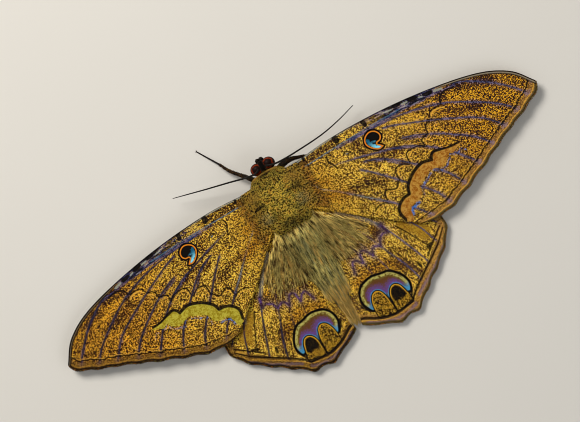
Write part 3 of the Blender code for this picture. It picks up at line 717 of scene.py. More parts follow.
def abdomen_cover(angle, y, grow=0.0):
    half, middle = abdomen_at(y)
    x, z = section(angle, 2.0)
    x = x * (half + grow)
    z = middle + z * (half * ABDOMEN_HEIGHT_SHARE + grow)
    return np.stack([x, y + 0.0 * x, z], -1)


def head_cover(angle, y, grow=0.0):
    size = round_off((y - HEAD_CENTRE[1]) / (HEAD_HALF[1] + grow), 2.0)
    x = HEAD_CENTRE[0] + np.sin(angle) * size * (HEAD_HALF[0] + grow)
    z = HEAD_CENTRE[2] + np.cos(angle) * size * (HEAD_HALF[2] + grow)
    return np.stack([x, y + 0.0 * x, z], -1)


def head_core(angle, y, grow=0.0):
    """The head's skin, drawn in under the eyes so that they stand out from it."""
    centre = np.array(HEAD_CENTRE)
    return centre + (head_cover(angle, y, grow) - centre) * HEAD_CORE_SHARES


def brow_cover(x, y):
    """The strip between the eyes, from the face over the crown."""
    arch = round_off((y - EYE_CENTRE[1]) / (EYE_HALF[1] + 0.35), 2.0)
    return np.stack([x + HEAD_CENTRE[0], y, EYE_CENTRE[2] + BROW_HEIGHT * arch], -1)


def hindwing_height(x, y, chord_share=0.0):
    out = np.maximum(x - SHOULDER_HALF_WIDTH, 0.0)
    back = np.maximum(y - SHOULDER_BACK, 0.0)
    return WING_LOW + WING_RISE * np.exp(-np.hypot(out, back) / WING_RISE_REACH)


def forewing_height(x, y, chord_share=0.5):
    camber = FOREWING_CAMBER * np.sin(math.pi * chord_share) * np.minimum(x / FOREWING_LENGTH, 1.0) ** 0.5
    return hindwing_height(x, y) + FOREWING_LIFT + camber


# Wings

class WingSheet:
    """A wing's middle surface as rows of plan points, with the fields that its markings need."""

    def __init__(self, rays, scallops, height, rows, spacing):
        curves = [smooth_line(points, 12) for points, _ in rays]
        lengths = np.array([lengths_along(curve)[-1] for curve in curves])
        shares = np.linspace(0.0, 1.0, rows + 1)
        reach = 1.0 - FRINGE_REACH / lengths
        lines = [along(curve, shares * r) for curve, r in zip(curves, reach)]
        dip = ((shares - 1.0 + SCALLOP_DEPTH_SHARE) / SCALLOP_DEPTH_SHARE).clip(0.0, 1.0) ** 1.5
        panels = []
        crossed = np.zeros((rows + 1, 1))
        for k, scallop in enumerate(scallops):
            front, rear = lines[k], lines[k + 1]
            gap = np.linalg.norm(rear - front, axis=1)[:, None]
            count = max(3, round(gap[-1, 0] / spacing))
            last = k == len(scallops) - 1
            part = np.arange(count + last)[None, :] / count
            outward = unit(np.gradient(front, axis=0) + np.gradient(rear, axis=0))[:, None]
            at = front[:, None] + (rear - front)[:, None] * part[..., None]
            sag = 4 * part * (1 - part) * scallop * dip[:, None]
            faint = [FAINT_VEIN * np.maximum(rays[j][1] - shares, 0.0)[:, None] for j in (k, k + 1)]
            vein = np.minimum(part * gap + faint[0], (1 - part) * gap + faint[1])
            length = lengths[k] * reach[k] * (1 - part) + lengths[k + 1] * reach[k + 1] * part
            margin = (1.0 - shares)[:, None] * length
            chord = (k + part) / len(scallops) + 0.0 * gap
            panels.append((at - outward * sag[..., None], chord, vein, margin, crossed + part * gap))
            crossed = crossed + gap
        joined = [np.concatenate(each, 1) for each in zip(*panels)]
        plan, self.chord, self.vein, self.margin, self.lead = joined
        window = 2 * ROUNDING + 1
        wide = np.pad(plan, ((0, 0), (ROUNDING, ROUNDING), (0, 0)), mode="reflect", reflect_type="odd")
        even = sum(wide[:, k : k + plan.shape[1]] for k in range(window)) / window
        self.plan = plan + (even - plan) * dip[:, None, None]
        x, y = self.plan[..., 0], self.plan[..., 1]
        ridge = RIDGE_HEIGHT * np.exp(-((self.vein / RIDGE_REACH) ** 2)) * np.minimum(self.margin / 3.0, 1.0)
        trough = np.minimum(self.vein / 2.0, 1.0) ** 2 * np.minimum(self.margin / 6.0, 1.0)
        self.points = np.dstack([x, y, height(x, y, self.chord) + ridge - TROUGH_DEPTH * trough])

    def piece(self, side):
        """The sheet as a mesh, and the row and column of each of its points."""
        rows, columns = self.chord.shape[0] - 1, self.chord.shape[1] - 1
        select()
        bpy.ops.mesh.primitive_grid_add(x_subdivisions=rows, y_subdivisions=columns, size=2.0, calc_uvs=False)
        piece = bpy.context.object
        grid = (read_points(piece.data)[:, :2] + 1) / 2 * (rows, columns)
        row, column = np.rint(grid).astype(int).T
        write_points(piece.data, to_world(self.points[row, column] * (side, 1.0, 1.0)))
        if piece.data.polygons[0].normal.z < 0:
            piece.data.flip_normals()
        return piece, row, column


def dress_wing(sheet, side, thickness, fields):
    """The wing's solid with its fields stored on it."""
    piece, row, column = sheet.piece(side)
    give(piece.data, **{name: values[row, column] for name, values in fields.items()})
    apply_modifier(piece, "SOLIDIFY", thickness=thickness, offset=0.0)
    normals = np.empty(len(piece.data.vertices) * 3, np.float32)
    piece.data.vertices.foreach_get("normal", normals)
    give(piece.data, under=normals.reshape(-1, 3)[:, 2] < 0.0)
    select(piece)
    bpy.ops.object.shade_smooth()
    return piece


def mark_fields(sheet, strokes, outlines):
    """The distances that a wing's markings are drawn with."""
    fields = {"vein": sheet.vein, "margin": sheet.margin, "lead": sheet.lead}
    places, shape = sheet.plan.reshape(-1, 2), sheet.vein.shape
    for measure, drawings in ((inside_strokes, strokes), (inside_outline, outlines)):
        fields |= {name: measure(places, drawn).reshape(shape) for name, drawn in drawings.items()}
    return fields


def forewing_fields(sheet):
    return mark_fields(sheet, FOREWING_STROKES, {"band": FOREWING_BAND, "spot": COMMA})


def hindwing_fields(sheet):
    outlines = {"spot": EYESPOT, "lobe": LEFT_LOBE, "other": RIGHT_LOBE, "pupil": PUPIL}
    fields = mark_fields(sheet, HINDWING_STROKES, outlines)
    fields["lobe"] = np.maximum(fields["lobe"], fields.pop("other"))
    fields["reach"] = np.hypot(sheet.plan[..., 0] - 3.0, sheet.plan[..., 1])
    return fields


# Tufts

def tuft_triangles(count):
    """The triangles of this many tufts of three corners, a, b and c, at three stations, and a tip."""
    rings = len(STATIONS) - 1
    tip = 3 * rings
    one = [(0, 1, 2)]
    for p, q in ((1, 2), (2, 0), (0, 1)):
        for low in range(0, tip - 3, 3):
            high = low + 3
            one += [(p + low, p + high, q + high), (p + low, q + high, q + low)]
        one.append((p + tip - 3, tip, q + tip - 3))
    return (np.arange(count)[:, None, None] * (tip + 1) + np.array(one)).reshape(-1, 3)


def grow_tufts(name, cover, u, v, du, dv, half, thick, lift, sink, marks, mirror=False):
    """Tapered tufts that follow a surface.

    cover(u, v) is the surface's point, and each tuft runs from (u, v) by (du, dv). Marks are fields of one
    number a tuft.
    """
    count = len(u)
    t = STATIONS[None, :]
    uu = u[:, None] + du[:, None] * t
    vv = v[:, None] + dv[:, None] * t
    turned = unit(cover(uu + NUDGE, vv) - cover(uu - NUDGE, vv))
    run = unit(cover(uu, vv + NUDGE) - cover(uu, vv - NUDGE))
    normal = unit(np.cross(turned, run))
    raised = np.reshape(lift, (-1, 1)) * t**1.4 - sink * (1.0 - t) ** 2
    centre = cover(uu, vv) + normal * raised[..., None]
    side = unit(np.cross(unit(np.gradient(centre, axis=1)), normal))
    across = side * (np.reshape(half, (-1, 1)) * TAPER)[..., None]
    upward = normal * (np.reshape(thick, (-1, 1)) * TAPER)[..., None]
    corners = np.stack([centre - across, centre + across, centre + upward], 2)
    points = np.concatenate([corners[:, :-1].reshape(count, -1, 3), centre[:, -1:]], 1)
    triangles = tuft_triangles(count)
    if mirror:
        points[..., 0] *= -1.0
        triangles = triangles[:, ::-1]
    piece = mesh_from(name, points.reshape(-1, 3), triangles)
    each = points.shape[1]
    give(piece.data, **{mark: np.repeat(values, each) for mark, values in marks.items()})
    place = np.stack([(w - w.min()) / (np.ptp(w) + 1e-9) for w in (u, v)], -1)
    place = place * (1 - 2 * UV_PATCH) + UV_PATCH
    share = np.append(np.repeat(STATIONS[:-1], 3), 1.0)
    offset = np.stack([np.append(np.tile((-0.5, 0.5, 0.0), 3), 0.0), share], -1)
    offset[2::3, 1] += 0.15
    uv = (place[:, None] + offset * UV_PATCH).reshape(-1, 2)
    layer = piece.data.uv_layers.new(name="OFBake")
    layer.uv.foreach_set("vector", uv[triangles.ravel()].astype(np.float32).ravel())
    return piece


def spread(dice, count, *ranges):
    """Evenly scattered pairs: a jittered sequence of two irrational steps."""
    shares = [(np.arange(count) * step + dice.random()) % 1.0 for step in SPREAD_STEPS]
    return [low + share * (high - low) for share, (low, high) in zip(shares, ranges)]


def soft_box(value, centre, half, soft):
    """1 within half of the centre, falling to 0 over the soft distance beyond it."""
    return (1.0 - (np.abs(value - centre) - half) / soft).clip(0.0, 1.0)


def soft_top(heights, sharpness=3.0):
    """The highest of several surfaces, with its creases rounded."""
    top = np.maximum.reduce(heights)
    return top + np.log(sum(np.exp(sharpness * (height - top)) for height in heights)) / sharpness


def behind_forewing(x, y):
    """How far behind the forewing's rear edge a plan place is, near the body."""
    (x0, y0), (x1, y1) = FOREWING_RAYS[-1][0][0], FOREWING_RAYS[-1][0][2]
    slope = (y1 - y0) / (x1 - x0)
    return (y - y0 - (x - x0) * slope) / math.hypot(1.0, slope)


def body_top(x, y):
    """The height of the body and the wings' bases, seen from above."""
    wide = np.abs(x)
    size = round_off((y - THORAX_CENTRE[1]) / THORAX_HALF[1], THORAX_LENGTH_POWER) + BODY_EDGE
    over = round_off(wide / (THORAX_HALF[0] * size), THORAX_SECTION_POWER)
    thorax = np.where(over > 0.0, THORAX_CENTRE[2] + THORAX_HALF[2] * size * over, 0.0)
    half, middle = abdomen_at(y)
    half = half + BODY_EDGE
    over = round_off(wide / half, 2.0)
    on_abdomen = (over > 0.0) & (y < ABDOMEN_TAIL)
    abdomen = np.where(on_abdomen, middle + half * ABDOMEN_HEIGHT_SHARE * over, 0.0)
    on_forewing = 1.0 / (1.0 + np.exp(3.0 * (behind_forewing(wide, y) - 0.4)))
    wing = hindwing_height(wide, y) + (FOREWING_LIFT + FOREWING_CAMBER / 2) * on_forewing
    return soft_top([thorax, abdomen, wing])


def plan_cover(x, y):
    return np.stack([x, y, body_top(x, y)], -1)


def tube_cover(points):
    """A cover for hair on a limb: the angle round it, and the share of its length."""
    curve = smooth_line(points)

    def cover(angle, share):
        share = np.asarray(share).clip(0.001, 0.999)
        at = along(curve, share)
        before, after = (along(curve, (share + step).clip(0.0, 1.0)) for step in (-0.004, 0.004))
        heading = unit((after - before)[..., :3])
        side = unit(np.cross(heading, (0.0, 0.0, 1.0)))
        up = np.cross(side, heading)
        round_it = side * np.sin(angle)[..., None] + up * np.cos(angle)[..., None]
        return at[..., :3] + round_it * at[..., 3:]

    return cover


def body_marks(points):
    """How dark, grey and pale the coat is over these plan points."""
    x, y = np.abs(points[..., 0]), points[..., 1]
    bars = soft_box(y, -8.0, 0.3, 0.4) * soft_box(np.abs(points[..., 0] - 0.45), 5.1, 1.3, 0.6)
    # Painted shadow: a dark band in the crease between thorax and abdomen.
    waist_shadow = (1.9 - np.hypot(x / 3.2, (y - 0.1) / 1.4)).clip(0.0, 1.0) * 0.64
    patches = soft_box(y, -3.4, 0.5, 0.8) * soft_box(x, 3.6, 1.1, 0.8) * 0.5
    nape = soft_box(y + 0.08 * x * x, -14.9, 0.2, 0.3) * soft_box(x, 0.0, 1.8, 0.5)
    crown = soft_box(y, -17.8, 1.5, 0.3) * soft_box(x, 0.4, 0.8, 0.3) * 1.6
    front = soft_box(y, -13.6, 1.4, 1.2) * 0.4
    sides = soft_box(y, -7.0, 4.0, 2.0) * soft_box(x, 6.4, 1.2, 1.6) * 0.25
    dark = np.maximum.reduce([bars, waist_shadow, patches, nape, crown, front, sides])
    grey = ((y - 1.5) / 3.0).clip(0.0, 1.0) * (1.0 - 0.45 * ((y - 20.0) / 6.0).clip(0.0, 1.0))
    grey = grey * soft_box(x, 0.0, 2.8, 3.8)
    grey = np.maximum(grey, soft_box(y, -4.4, 1.0, 1.2) * soft_box(x, 5.6, 1.2, 1.2) * 0.6)
    pale = soft_box(y - 0.05 * x * x, -15.55, 0.22, 0.25) * soft_box(x, 1.9, 1.2, 0.6)
    pale = np.maximum(pale, soft_box(y, -11.0, 0.7, 0.9) * soft_box(x, 5.4, 1.3, 1.2) * 0.35)
    # Rust: warmer hair towards the tail and beside the thorax. It is also painted light, as it lightens the
    # long hair there, most at the tail, which slopes away from the key light.
    rust = np.maximum(((y - 17.0) / 8.0).clip(0.0, 0.7), ((x - 4.0) / 4.0).clip(0.0, 0.55) * (y < 1.0))
    return {"dark": dark, "grey": grey, "pale": pale, "rust": rust}


# Materials

class WingPaint(Paint):
    """A wing's material: the speckled ground of its scales, with its markings laid over it."""

    def __init__(self, kind, settings, side):
        super().__init__(f"{kind}_{SIDE_NAMES[side]}", settings, SIDE_NAMES[side])
        self.margin, self.lead, self.vein = (self.attribute(name) for name in ("margin", "lead", "vein"))
        x, y = self.axes()
        self.out, self.back = x * side, y + PLAN_CENTRE_Y
        self.speck = self.noise(0.3, 1.0) * 0.82 + self.cells(0.27) * 0.18
        self.fine, self.patch = self.noise(0.17, 1.0), self.noise(1.4)
        self.grain, self.dust, self.cloud = self.speck - 0.5, self.fine - 0.5, self.patch - 0.5
        self.drift = self.noise(5.0) - 0.5
        self.tinge = self.step(self.noise(0.47, 1.0), 0.4, 0.6)
        self.ragged = self.grain * 0.7 + self.dust * 0.3
        uneven = self.dust * 0.35 + self.cloud * 0.12 + self.drift * 0.12
        light, shade = (self.step(self.mark(name, 2.0), -1.5, 1.0) for name in ("light", "shade"))
        self.level = self.speck + uneven + light * 0.05 - shade * 0.08

    def either(self, left, right):
        """The first number on the left wings and the second on the right ones."""
        return left if self.side == SIDE_NAMES[LEFT] else right

    def mark(self, name, rough=0.4):
        """How far inside a drawn mark a place is, with the mark's edge roughened."""
        return self.attribute(name) + self.ragged * rough

    def lay(self, over, inside, strength=1.0, soft=0.08):
        """Lays a colour over the painted one where the inside distance is above 0."""
        self.colour = self.blend(self.colour, inside, over, strength, soft)

    def ground(self, colour, *tones):
        """The speckle, from a dark colour to ever brighter tones."""
        for tone, (low, high) in zip(tones, SPECKLE_STEPS):
            colour = self.two_tone(self.level, colour, tone, low, high)
        return colour

    def cover(self, inward):
        """Lays the ground, the smoother one where inward is 1."""
        warm = self.step(self.attribute("warm") + self.cloud * 3.0, -1.5, 1.5)
        outer = self.most(self.step(self.out + self.drift * 20.0, 26.0, 56.0), warm)
        gold = self.mix(self.most(outer, self.tinge * 0.6), "gold", "orange")
        brown = self.mix(outer, self.two_tone(self.patch, "olive_brown", "brown"), "outer_brown")
        brown = self.mix(self.tinge * 0.5, brown, "plum")
        bright = self.mix(outer, "bright", "outer_bright")
        dark = self.mix(self.tinge * 0.2, "dark", "plum")
        self.level = self.level - outer * 0.016
        wide = self.ground(dark, brown, gold, bright)
        base = self.ground("base_dark", "base", self.mix(outer, "base_light", gold), gold)
        self.colour = self.mix(inward, wide, base)

    def veins(self, width, halo):
        """Blue and lilac scales along the veins, dense on them and scattered beside them."""
        tone = self.two_tone(self.patch * 0.6 + self.speck * 0.4, "vein", "lilac", 0.46, 0.58)
        fade = self.step(self.margin, 0.6, 2.6) * self.step(self.out - self.margin * 0.2, 8.0, 18.0)
        self.lay(tone, width - 0.45 - self.vein + self.grain * 5.0 + self.cloud * 1.5, fade * halo, 0.12)
        core = self.either(0.22, 0.17) - self.vein + self.grain * self.either(0.8, 1.0)
        self.lay(self.mix(self.either(0.25, 0.6), "vein", tone), core, fade * 0.6 + 0.3)

    def hem(self, width, strength):
        """The streaked border, whose left copies are darker with painted shade."""
        tone = self.two_tone(self.noise(0.4) + self.ragged * 0.3, "hem_deep", "hem")
        self.lay(tone, width - self.margin + self.ragged * 0.8, strength, 0.3)

    def end(self):
        """Ends the material, with a duller pattern on the lower face."""
        dull = self.two_tone(self.level, "under_dark", "under_light", 0.42, 0.58)
        colour = self.mix(self.attribute("under"), self.colour, self.mix(0.3, dull, self.colour))
        return self.finish(colour, 0.7 + self.dust * 0.3, self.level * 0.8 + self.fine * 0.6, 0.05, 0.06)


def forewing_paint(settings, side):
    paint = WingPaint("forewing", settings, side)
    lay, near, step, mark, two_tone = paint.lay, paint.near, paint.step, paint.mark, paint.two_tone
    margin, lead, ragged, grain = paint.margin, paint.lead, paint.ragged, paint.grain
    out, either = paint.out, paint.either

    paint.cover((1 - step(out, 11.0, 20.0)) * step(paint.back, -11.5, -9.0) * 0.9)
    lay("gild", mark("gild"), 0.75)
    paint.veins(either(0.35, 0.42), 0.75)
    bloom = two_tone(paint.patch + ragged * 0.5, "blue", "lilac", 0.45, 0.62)
    lay(bloom, paint.attribute("bloom") + grain * 2.4, 0.85, 0.12)

    # Hem
    paint.hem(2.0, 0.8)
    lay("lilac", 0.4 - paint.vein + near(margin, 1.5, 0.5) + grain * 5.0, either(0.15, 0.5), 0.2)
    wander = paint.cloud * 1.4
    lay("ink", near(margin, 2.5 + wander, 0.2) + ragged * 0.3, 0.9)
    lay("gild", near(margin, 2.9 + wander, 0.14) + ragged * 0.5, 0.4)
    lay("gild", near(margin, 0.75, 0.14) + ragged * 0.4, either(0.2, 0.6))
    # The edge: a painted shadow in black on the left wings, the edge's own olive dark on the right.
    lay("rim", 0.42 - margin + ragged * 0.3, 0.9, 0.12)

    # Front edge
    streak = paint.noise(1.0, 2.0, 0.6, paint.join(out * 0.35, lead * 1.5)) + ragged * 0.2
    strip = step(out, either(19.0, 25.0), either(38.0, 37.0)) * (1 - step(out, 49.0, 54.0))
    strip = strip * step(2.7 - lead - step(out, 44.0, 54.0) * 1.5 + ragged, -0.15, 0.15)
    lay("slate", 0.52 - streak, strip * 0.95, 0.02)
    lay("blue", near(streak, 0.55, 0.03), strip * 0.9, 0.01)
    lay("lilac", near(streak, 0.6, 0.02), strip * 0.7, 0.01)
    lay("steel", streak - 0.64, strip * 0.9, 0.02)
    lay("azure", mark("azure"), 0.8)
    lay("pale", near(lead, 0.25, 0.16), (1 - step(out, 20.0, 30.0)) * 0.8)
    rail = step(out, 49.0, 56.0)
    lay("rail", 0.85 - lead, rail * 0.85)
    lay("pale", near(lead, 0.48, 0.07), rail * either(0.2, 0.5))
    lay("ink", near(lead, 0.85, 0.14), rail * 0.85)
    lay("ink", step(out, 19.0, 24.0) * 0.22 + rail * 0.1 - lead, 0.95)
    lay("pale", mark("pale"), 0.75)

    # Band
    streaks = paint.noise(0.9, 3.0, 0.6) + paint.dust * 0.5 + grain * 0.6
    lay(two_tone(streaks, "band_deep", "band", 0.4, 0.58), mark("band", 0.5))
    flecks = paint.attribute("flecks") * 1.6 + grain * 4.0 + paint.dust + paint.cloud
    lay("fleck", flecks - either(0.68, 0.52), 0.9, 0.06)
    lay("ink", mark("ink", 0.35), 0.95)

    # Comma spot
    spot = paint.attribute("spot")
    lay("ink", spot + 0.6 + ragged * 0.3)
    lay("ring", spot + 0.13 + ragged * 0.15, soft=0.05)
    lay("ink", spot - 0.2, soft=0.06)
    glow = two_tone(paint.back + paint.dust, "teal", "glow", -8.0, -5.8)
    lay(glow, paint.attribute("glow") + grain * 1.2, step(spot, 0.2, 0.3), 0.15)
    return paint.end()


def hindwing_paint(settings, side):
    paint = WingPaint("hindwing", settings, side)
    lay, near, step, mark, two_tone = paint.lay, paint.near, paint.step, paint.mark, paint.two_tone
    margin, ragged, grain, blend = paint.margin, paint.ragged, paint.grain, paint.blend
    spot, lobe = paint.attribute("spot"), paint.attribute("lobe")

    paint.cover((1 - step(mark("reach", 3.0), 10.0, 17.0)) * 0.8)
    lay("mauve_brown", mark("shade", 3.0), 0.22, 1.1)
    lay(two_tone(paint.level, "brown", "plain", 0.3, 0.55), mark("plain", 0.8), 0.8, 0.4)
    lay("steel", mark("pale", 1.2), paint.either(0.45, 0.25), 0.4)
    paint.veins(0.05, 0.5)
    lay("lilac", paint.attribute("bloom") + 0.3 + grain * 6.0, 0.45, 0.2)
    lay(two_tone(paint.patch + ragged, "zigzag", "violet", 0.5, 0.7), mark("bloom", 1.8) - 0.02, 0.9)

    # Hem
    paint.hem(2.8, 0.85)
    lay("violet_hem", mark("flecks", 2.0), 0.7, 0.2)
    lay("gild", near(margin, 1.0, 0.08) + ragged * 0.4, 0.3)
    # The edge: a painted shadow in black on the left wings, the edge's own olive dark on the right.
    lay("rim", 0.5 - margin + ragged * 0.3, 0.9, 0.15)
    lay("gild", mark("gild", 0.6), 0.45)

    # Eyespot: its arcs, then its two lobes
    rings = two_tone(paint.noise(0.5) + ragged * 0.6, "olive_dark", "olive_band", 0.36, 0.54)
    rings = blend(rings, spot - 1.05 + ragged * 0.5, "olive_dark", 0.85, 0.2)
    rings = blend(rings, spot - 1.45 + ragged * 0.6, "mauve", 1.0, 0.25)
    violet = step(lobe + ragged * 3.0, -2.2, -0.4) * step(spot + ragged * 1.2, 1.2, 2.1)
    rings = paint.mix(violet * 0.9, rings, "violet")
    rings = blend(rings, lobe + 0.3 + ragged * 0.6, "glow_rim", 0.85, 0.15)
    rings = two_tone(paint.back + ragged * 3.0, rings, "glow_rim", 29.2, 31.0)
    rings = paint.mix(step(paint.fine + ragged * 0.6, 0.5, 0.3) * 0.45, rings, "olive_dark")
    lay(rings, spot)
    lay("ink", near(spot, -0.04, 0.34) + ragged * 0.3)
    lay(two_tone(paint.speck + paint.dust * 0.4, "dark_left", "lobe", 0.52, 0.56), lobe, soft=0.05)
    lay("lobe", near(lobe, 0.34, 0.13) + ragged * 0.1, (1 - step(paint.back, 30.5, 33.0)) * 0.95)
    lay("ink", near(lobe, 0.04, 0.14), soft=0.05)
    lay("ink", mark("pupil", 1.8), 0.97, 0.3)
    lay("ink", mark("ink"), 0.92)
    return paint.end()


def coat_paint(name, settings, light, deep, dotty, vivid=0.6):
    """Scales in dots, or hair in streaks along its lines, both changed by the marks of the skin below."""
    paint = Paint(name, settings)
    attribute, noise, mix, step = paint.attribute, paint.noise, paint.mix, paint.step
    where = None if dotty else paint.join(attribute("line"), paint.axes()[1] * 0.06)
    patch, rust = noise(1.5), attribute("rust")
    grain = noise(0.36 if dotty else 0.24, 1.0, 0.5, where) + (attribute("tone") - 0.5) * 0.14
    grain = grain + (patch - 0.5) * 0.2
    hue = noise(0.9 if dotty else 0.7, 1.0, 0.5, where)
    # For hair, rust also sets a lowest level, so the hair is painted lighter where rust is high: painted
    # light meant for the tail, which slopes away from the key light.
    level = step(grain, 0.465, 0.525) if dotty else paint.most(step(grain, 0.41, 0.53), rust * 0.7)
    warm = paint.most(step(hue, 0.52, 0.64), rust * 1.5) * vivid
    cool = step(hue, 0.48, 0.38) * vivid
    colour = mix(cool * level, mix(warm * level, mix(level, deep, light), "rust"), "olive")
    hair = mix(warm * level, mix(level, "hair_deep", "hair"), "sand")
    hair = mix(cool, hair, mix(level, "hair_deep", "frost"))
    # The dark mark holds the coat's bars and patches, and the painted shadow of the waist.
    dark = attribute("dark") * (step(patch, 0.3, 0.55) * 0.5 + 0.6)
    colour = mix(dark * (1.05 - level * 0.2), mix(attribute("grey"), colour, hair), "hair_dark")
    colour = mix(attribute("pale") * 0.8, colour, "collar")
    return paint.finish(colour, 0.8 + (grain - 0.5) * 0.2, grain, 0.02, 0.12)


def skin_paint(settings):
    paint = Paint("skin", settings)
    patch = paint.noise(0.5)
    colour = paint.two_tone(patch, "deep", "hair_deep", 0.35, 0.65)
    # The dark mark here holds the bars and patches, and the painted shadow of the waist.
    colour = paint.mix(paint.attribute("dark") * 0.85, colour, "hair_dark")
    colour = paint.mix(paint.attribute("pale") * 0.6, colour, "collar")
    return paint.finish(colour, 0.85 + (patch - 0.5) * 0.2, patch, 0.08, 0.3)


def eye_paint(settings):
    """A dark red dome with a brighter ring round its top, which is a painted highlight, and fine facets."""
    paint = Paint("eye", settings)
    height, patch = paint.attribute("height"), paint.noise(0.5, 1.0)
    facets = paint.node("TexVoronoi", inputs={"Vector": paint.place, "Scale": FACET_SCALE})
    uneven = height + (patch - 0.5) * 0.5
    # The ring: a painted highlight of brighter red round the top of the eye's own dark red.
    ring = paint.step(uneven, 0.54, 0.62) * (1 - paint.step(uneven, 0.72, 0.84))
    colour = paint.blend(paint.mix(ring, "eye_dark", "eye_bright"), 0.5 - height, EYE_BLACK)
    gloss = {"Coat Weight": 0.03, "Coat Roughness": 0.1}
    return paint.finish(colour, 0.45 + patch * 0.15, facets, 0.01, 0.06, gloss)


def limb_paint(settings):
    paint = Paint("limb", settings)
    patch = paint.noise(0.4)
    colour = paint.two_tone(patch, "limb", "limb_light", 0.4, 0.62)
    return paint.finish(colour, 0.55 + patch * 0.25, patch, 0.03, 0.2)


def floor_paint(settings):
    paint = Paint("floor", settings)
    patch, fine = paint.noise(60.0, 3.0), paint.noise(1.2)
    colour = paint.mix(patch, [level * 0.97 for level in settings.floor], "floor")
    return paint.finish(colour, 0.85 + (fine - 0.5) * 0.1, fine, 0.01)


# Settings: each colour has a description and its levels on screen, or the left wing's and the right wing's.

WING_COLOURS = {
    "gold": ("Golden scales near the body", (204, 154, 36)),
    "orange": ("Golden scales of the outer wing", (182, 122, 20)),
    "bright": ("The brightest scales", (240, 204, 76)),
    "plum": ("Purplish scales among the brown ones", (92, 54, 40)),
    "brown": ("Warm middle tone of the scales", (134, 84, 26)),
    "olive_brown": ("Cooler middle tone of the scales", (122, 92, 30)),
    "dark": ("Dark ground of the wings", (22, 12, 5), (26, 15, 14)),
    "base": ("Light scales next to the body", (164, 120, 36)),
    "base_dark": ("Dark scales next to the body", (62, 39, 14)),
    "base_light": ("Lightest scales next to the body", (222, 178, 62)),
    "outer_brown": ("Middle tone of the outer wing", (104, 60, 16)),
    "outer_bright": ("The brightest scales of the outer wing", (232, 174, 40)),
    "azure": ("Thin blue line below the front edge", (70, 108, 136)),
    "gild": ("Golden lines beside the black ones", (218, 164, 58)),
    "plain": ("Smooth front strip of the hindwing", (152, 116, 24)),
    "ink": ("Black lines", (12, 8, 6)),
    "pale": ("Whitish lines", (150, 152, 136)),
    "band": ("Pale band of the forewing", (178, 166, 56), (180, 134, 54)),
    "band_deep": ("Shade of that band", (140, 120, 20), (142, 84, 22)),
    # Hem and hem_deep are lit and shaded copies: the left ones are darker, partly the margin's own tone and
    # partly painted shade where the left margins turn away from the light.
    "hem": ("Outer margin of the wings", (126, 88, 30), (164, 120, 58)),
    "hem_deep": ("Streaks of that margin", (66, 42, 14), (104, 70, 32)),
    # Rim: on the left wings its black is a painted shadow along the wing's outline; on the right it is the
    # edge's own olive dark.
    "rim": ("Edge of the wings", (20, 13, 7), (78, 66, 34)),
    "vein": ("Dark blue of the veins", (24, 30, 52), (44, 52, 84)),
    "lilac": ("Lilac of the veins", (84, 74, 104), (122, 108, 136)),
    "blue": ("Blue of the bar along the front edge", (28, 46, 96)),
    "slate": ("Dark patches of the front edge", (10, 12, 18)),
    "steel": ("Blue grey patches of the front edge", (156, 158, 148)),
    "rail": ("Strip along the wing's tip", (52, 42, 26), (116, 100, 78)),
    "fleck": ("Blue scales below the band", (40, 110, 190)),
    "ring": ("Orange ring of the comma spot", (206, 122, 26)),
    "glow": ("Brightest blue scales of the comma spot", (120, 200, 222)),
    "teal": ("Darker blue scales of the comma spot", (24, 88, 116)),
    "glow_rim": ("Blue arc of the hindwing's spot", (60, 138, 182)),
    "zigzag": ("Purple line of the hindwing", (44, 18, 42)),
    "mauve_brown": ("Shade over the purple line", (98, 66, 52)),
    "olive_band": ("Outer arc of the hindwing's spot", (178, 170, 88)),
    "olive_dark": ("Shade of that arc", (86, 60, 18)),
    "mauve": ("Inner arc of the hindwing's spot", (94, 59, 32)),
    "violet": ("Violet scales", (96, 66, 134)),
    "violet_hem": ("Violet band of the hem", (86, 72, 88), (112, 92, 112)),
    "lobe": ("Golden scales of the spot's lobes", (196, 148, 38)),
    "under_dark": ("Dark scales of the lower face", (66, 48, 28)),
    "under_light": ("Light scales of the lower face", (142, 116, 74)),
}
COAT_COLOURS = {
    "gold": ("Tips of the thorax's tufts", (250, 216, 82)),
    "deep": ("Roots of the thorax's tufts", (14, 8, 3)),
    "base": ("Tips of the hair on the forewing's base", (206, 158, 56)),
    "base_deep": ("Roots of that hair", (40, 24, 8)),
    "fan": ("Tips of the hair over the hindwing", (255, 226, 128)),
    "fan_deep": ("Roots of that hair", (86, 60, 28)),
    "rust": ("Warmer hairs", (190, 120, 40)),
    "olive": ("Cooler hairs", (132, 118, 58)),
    "hair": ("Tips of the long grey hair", (244, 226, 132)),
    "hair_deep": ("Roots of the long grey hair", (54, 44, 22)),
    "hair_dark": ("Bars of the coat", (20, 15, 10)),
    "sand": ("Warmer hairs of the long hair", (246, 184, 86)),
    "frost": ("Bluish hairs of the long hair", (158, 160, 126)),
    "collar": ("Pale line behind the head", (196, 150, 66)),
    "leg": ("Tips of the tufts on the legs", (30, 21, 12)),
    "leg_deep": ("Roots of the tufts on the legs", (8, 5, 3)),
}
BODY_COLOURS = {
    "deep": ("Skin between the tufts", (60, 44, 18)),
    "hair_deep": ("Lighter skin between the tufts", (96, 78, 38)),
    "hair_dark": ("Skin of the dark bars", (28, 20, 12)),
    "collar": ("Skin of the collar line", (170, 130, 60)),
    "eye_dark": ("Dark red of the eyes", (24, 9, 6)),
    # Eye_bright is the painted highlight of the eyes' ring.
    "eye_bright": ("Bright red of the eyes", (122, 38, 7)),
    "limb": ("Blackish brown of feelers and feet", (8, 6, 4)),
    "limb_light": ("Paler scales of feelers and feet", (26, 19, 12)),
}


def tint(red, green, blue):
    """A colour given as it looks on screen, from 0 to 255, as Blender's linear one."""
    shares = [level / 255 for level in (red, green, blue)]
    return tuple(s / 12.92 if s <= 0.04045 else ((s + 0.055) / 1.055) ** 2.4 for s in shares)


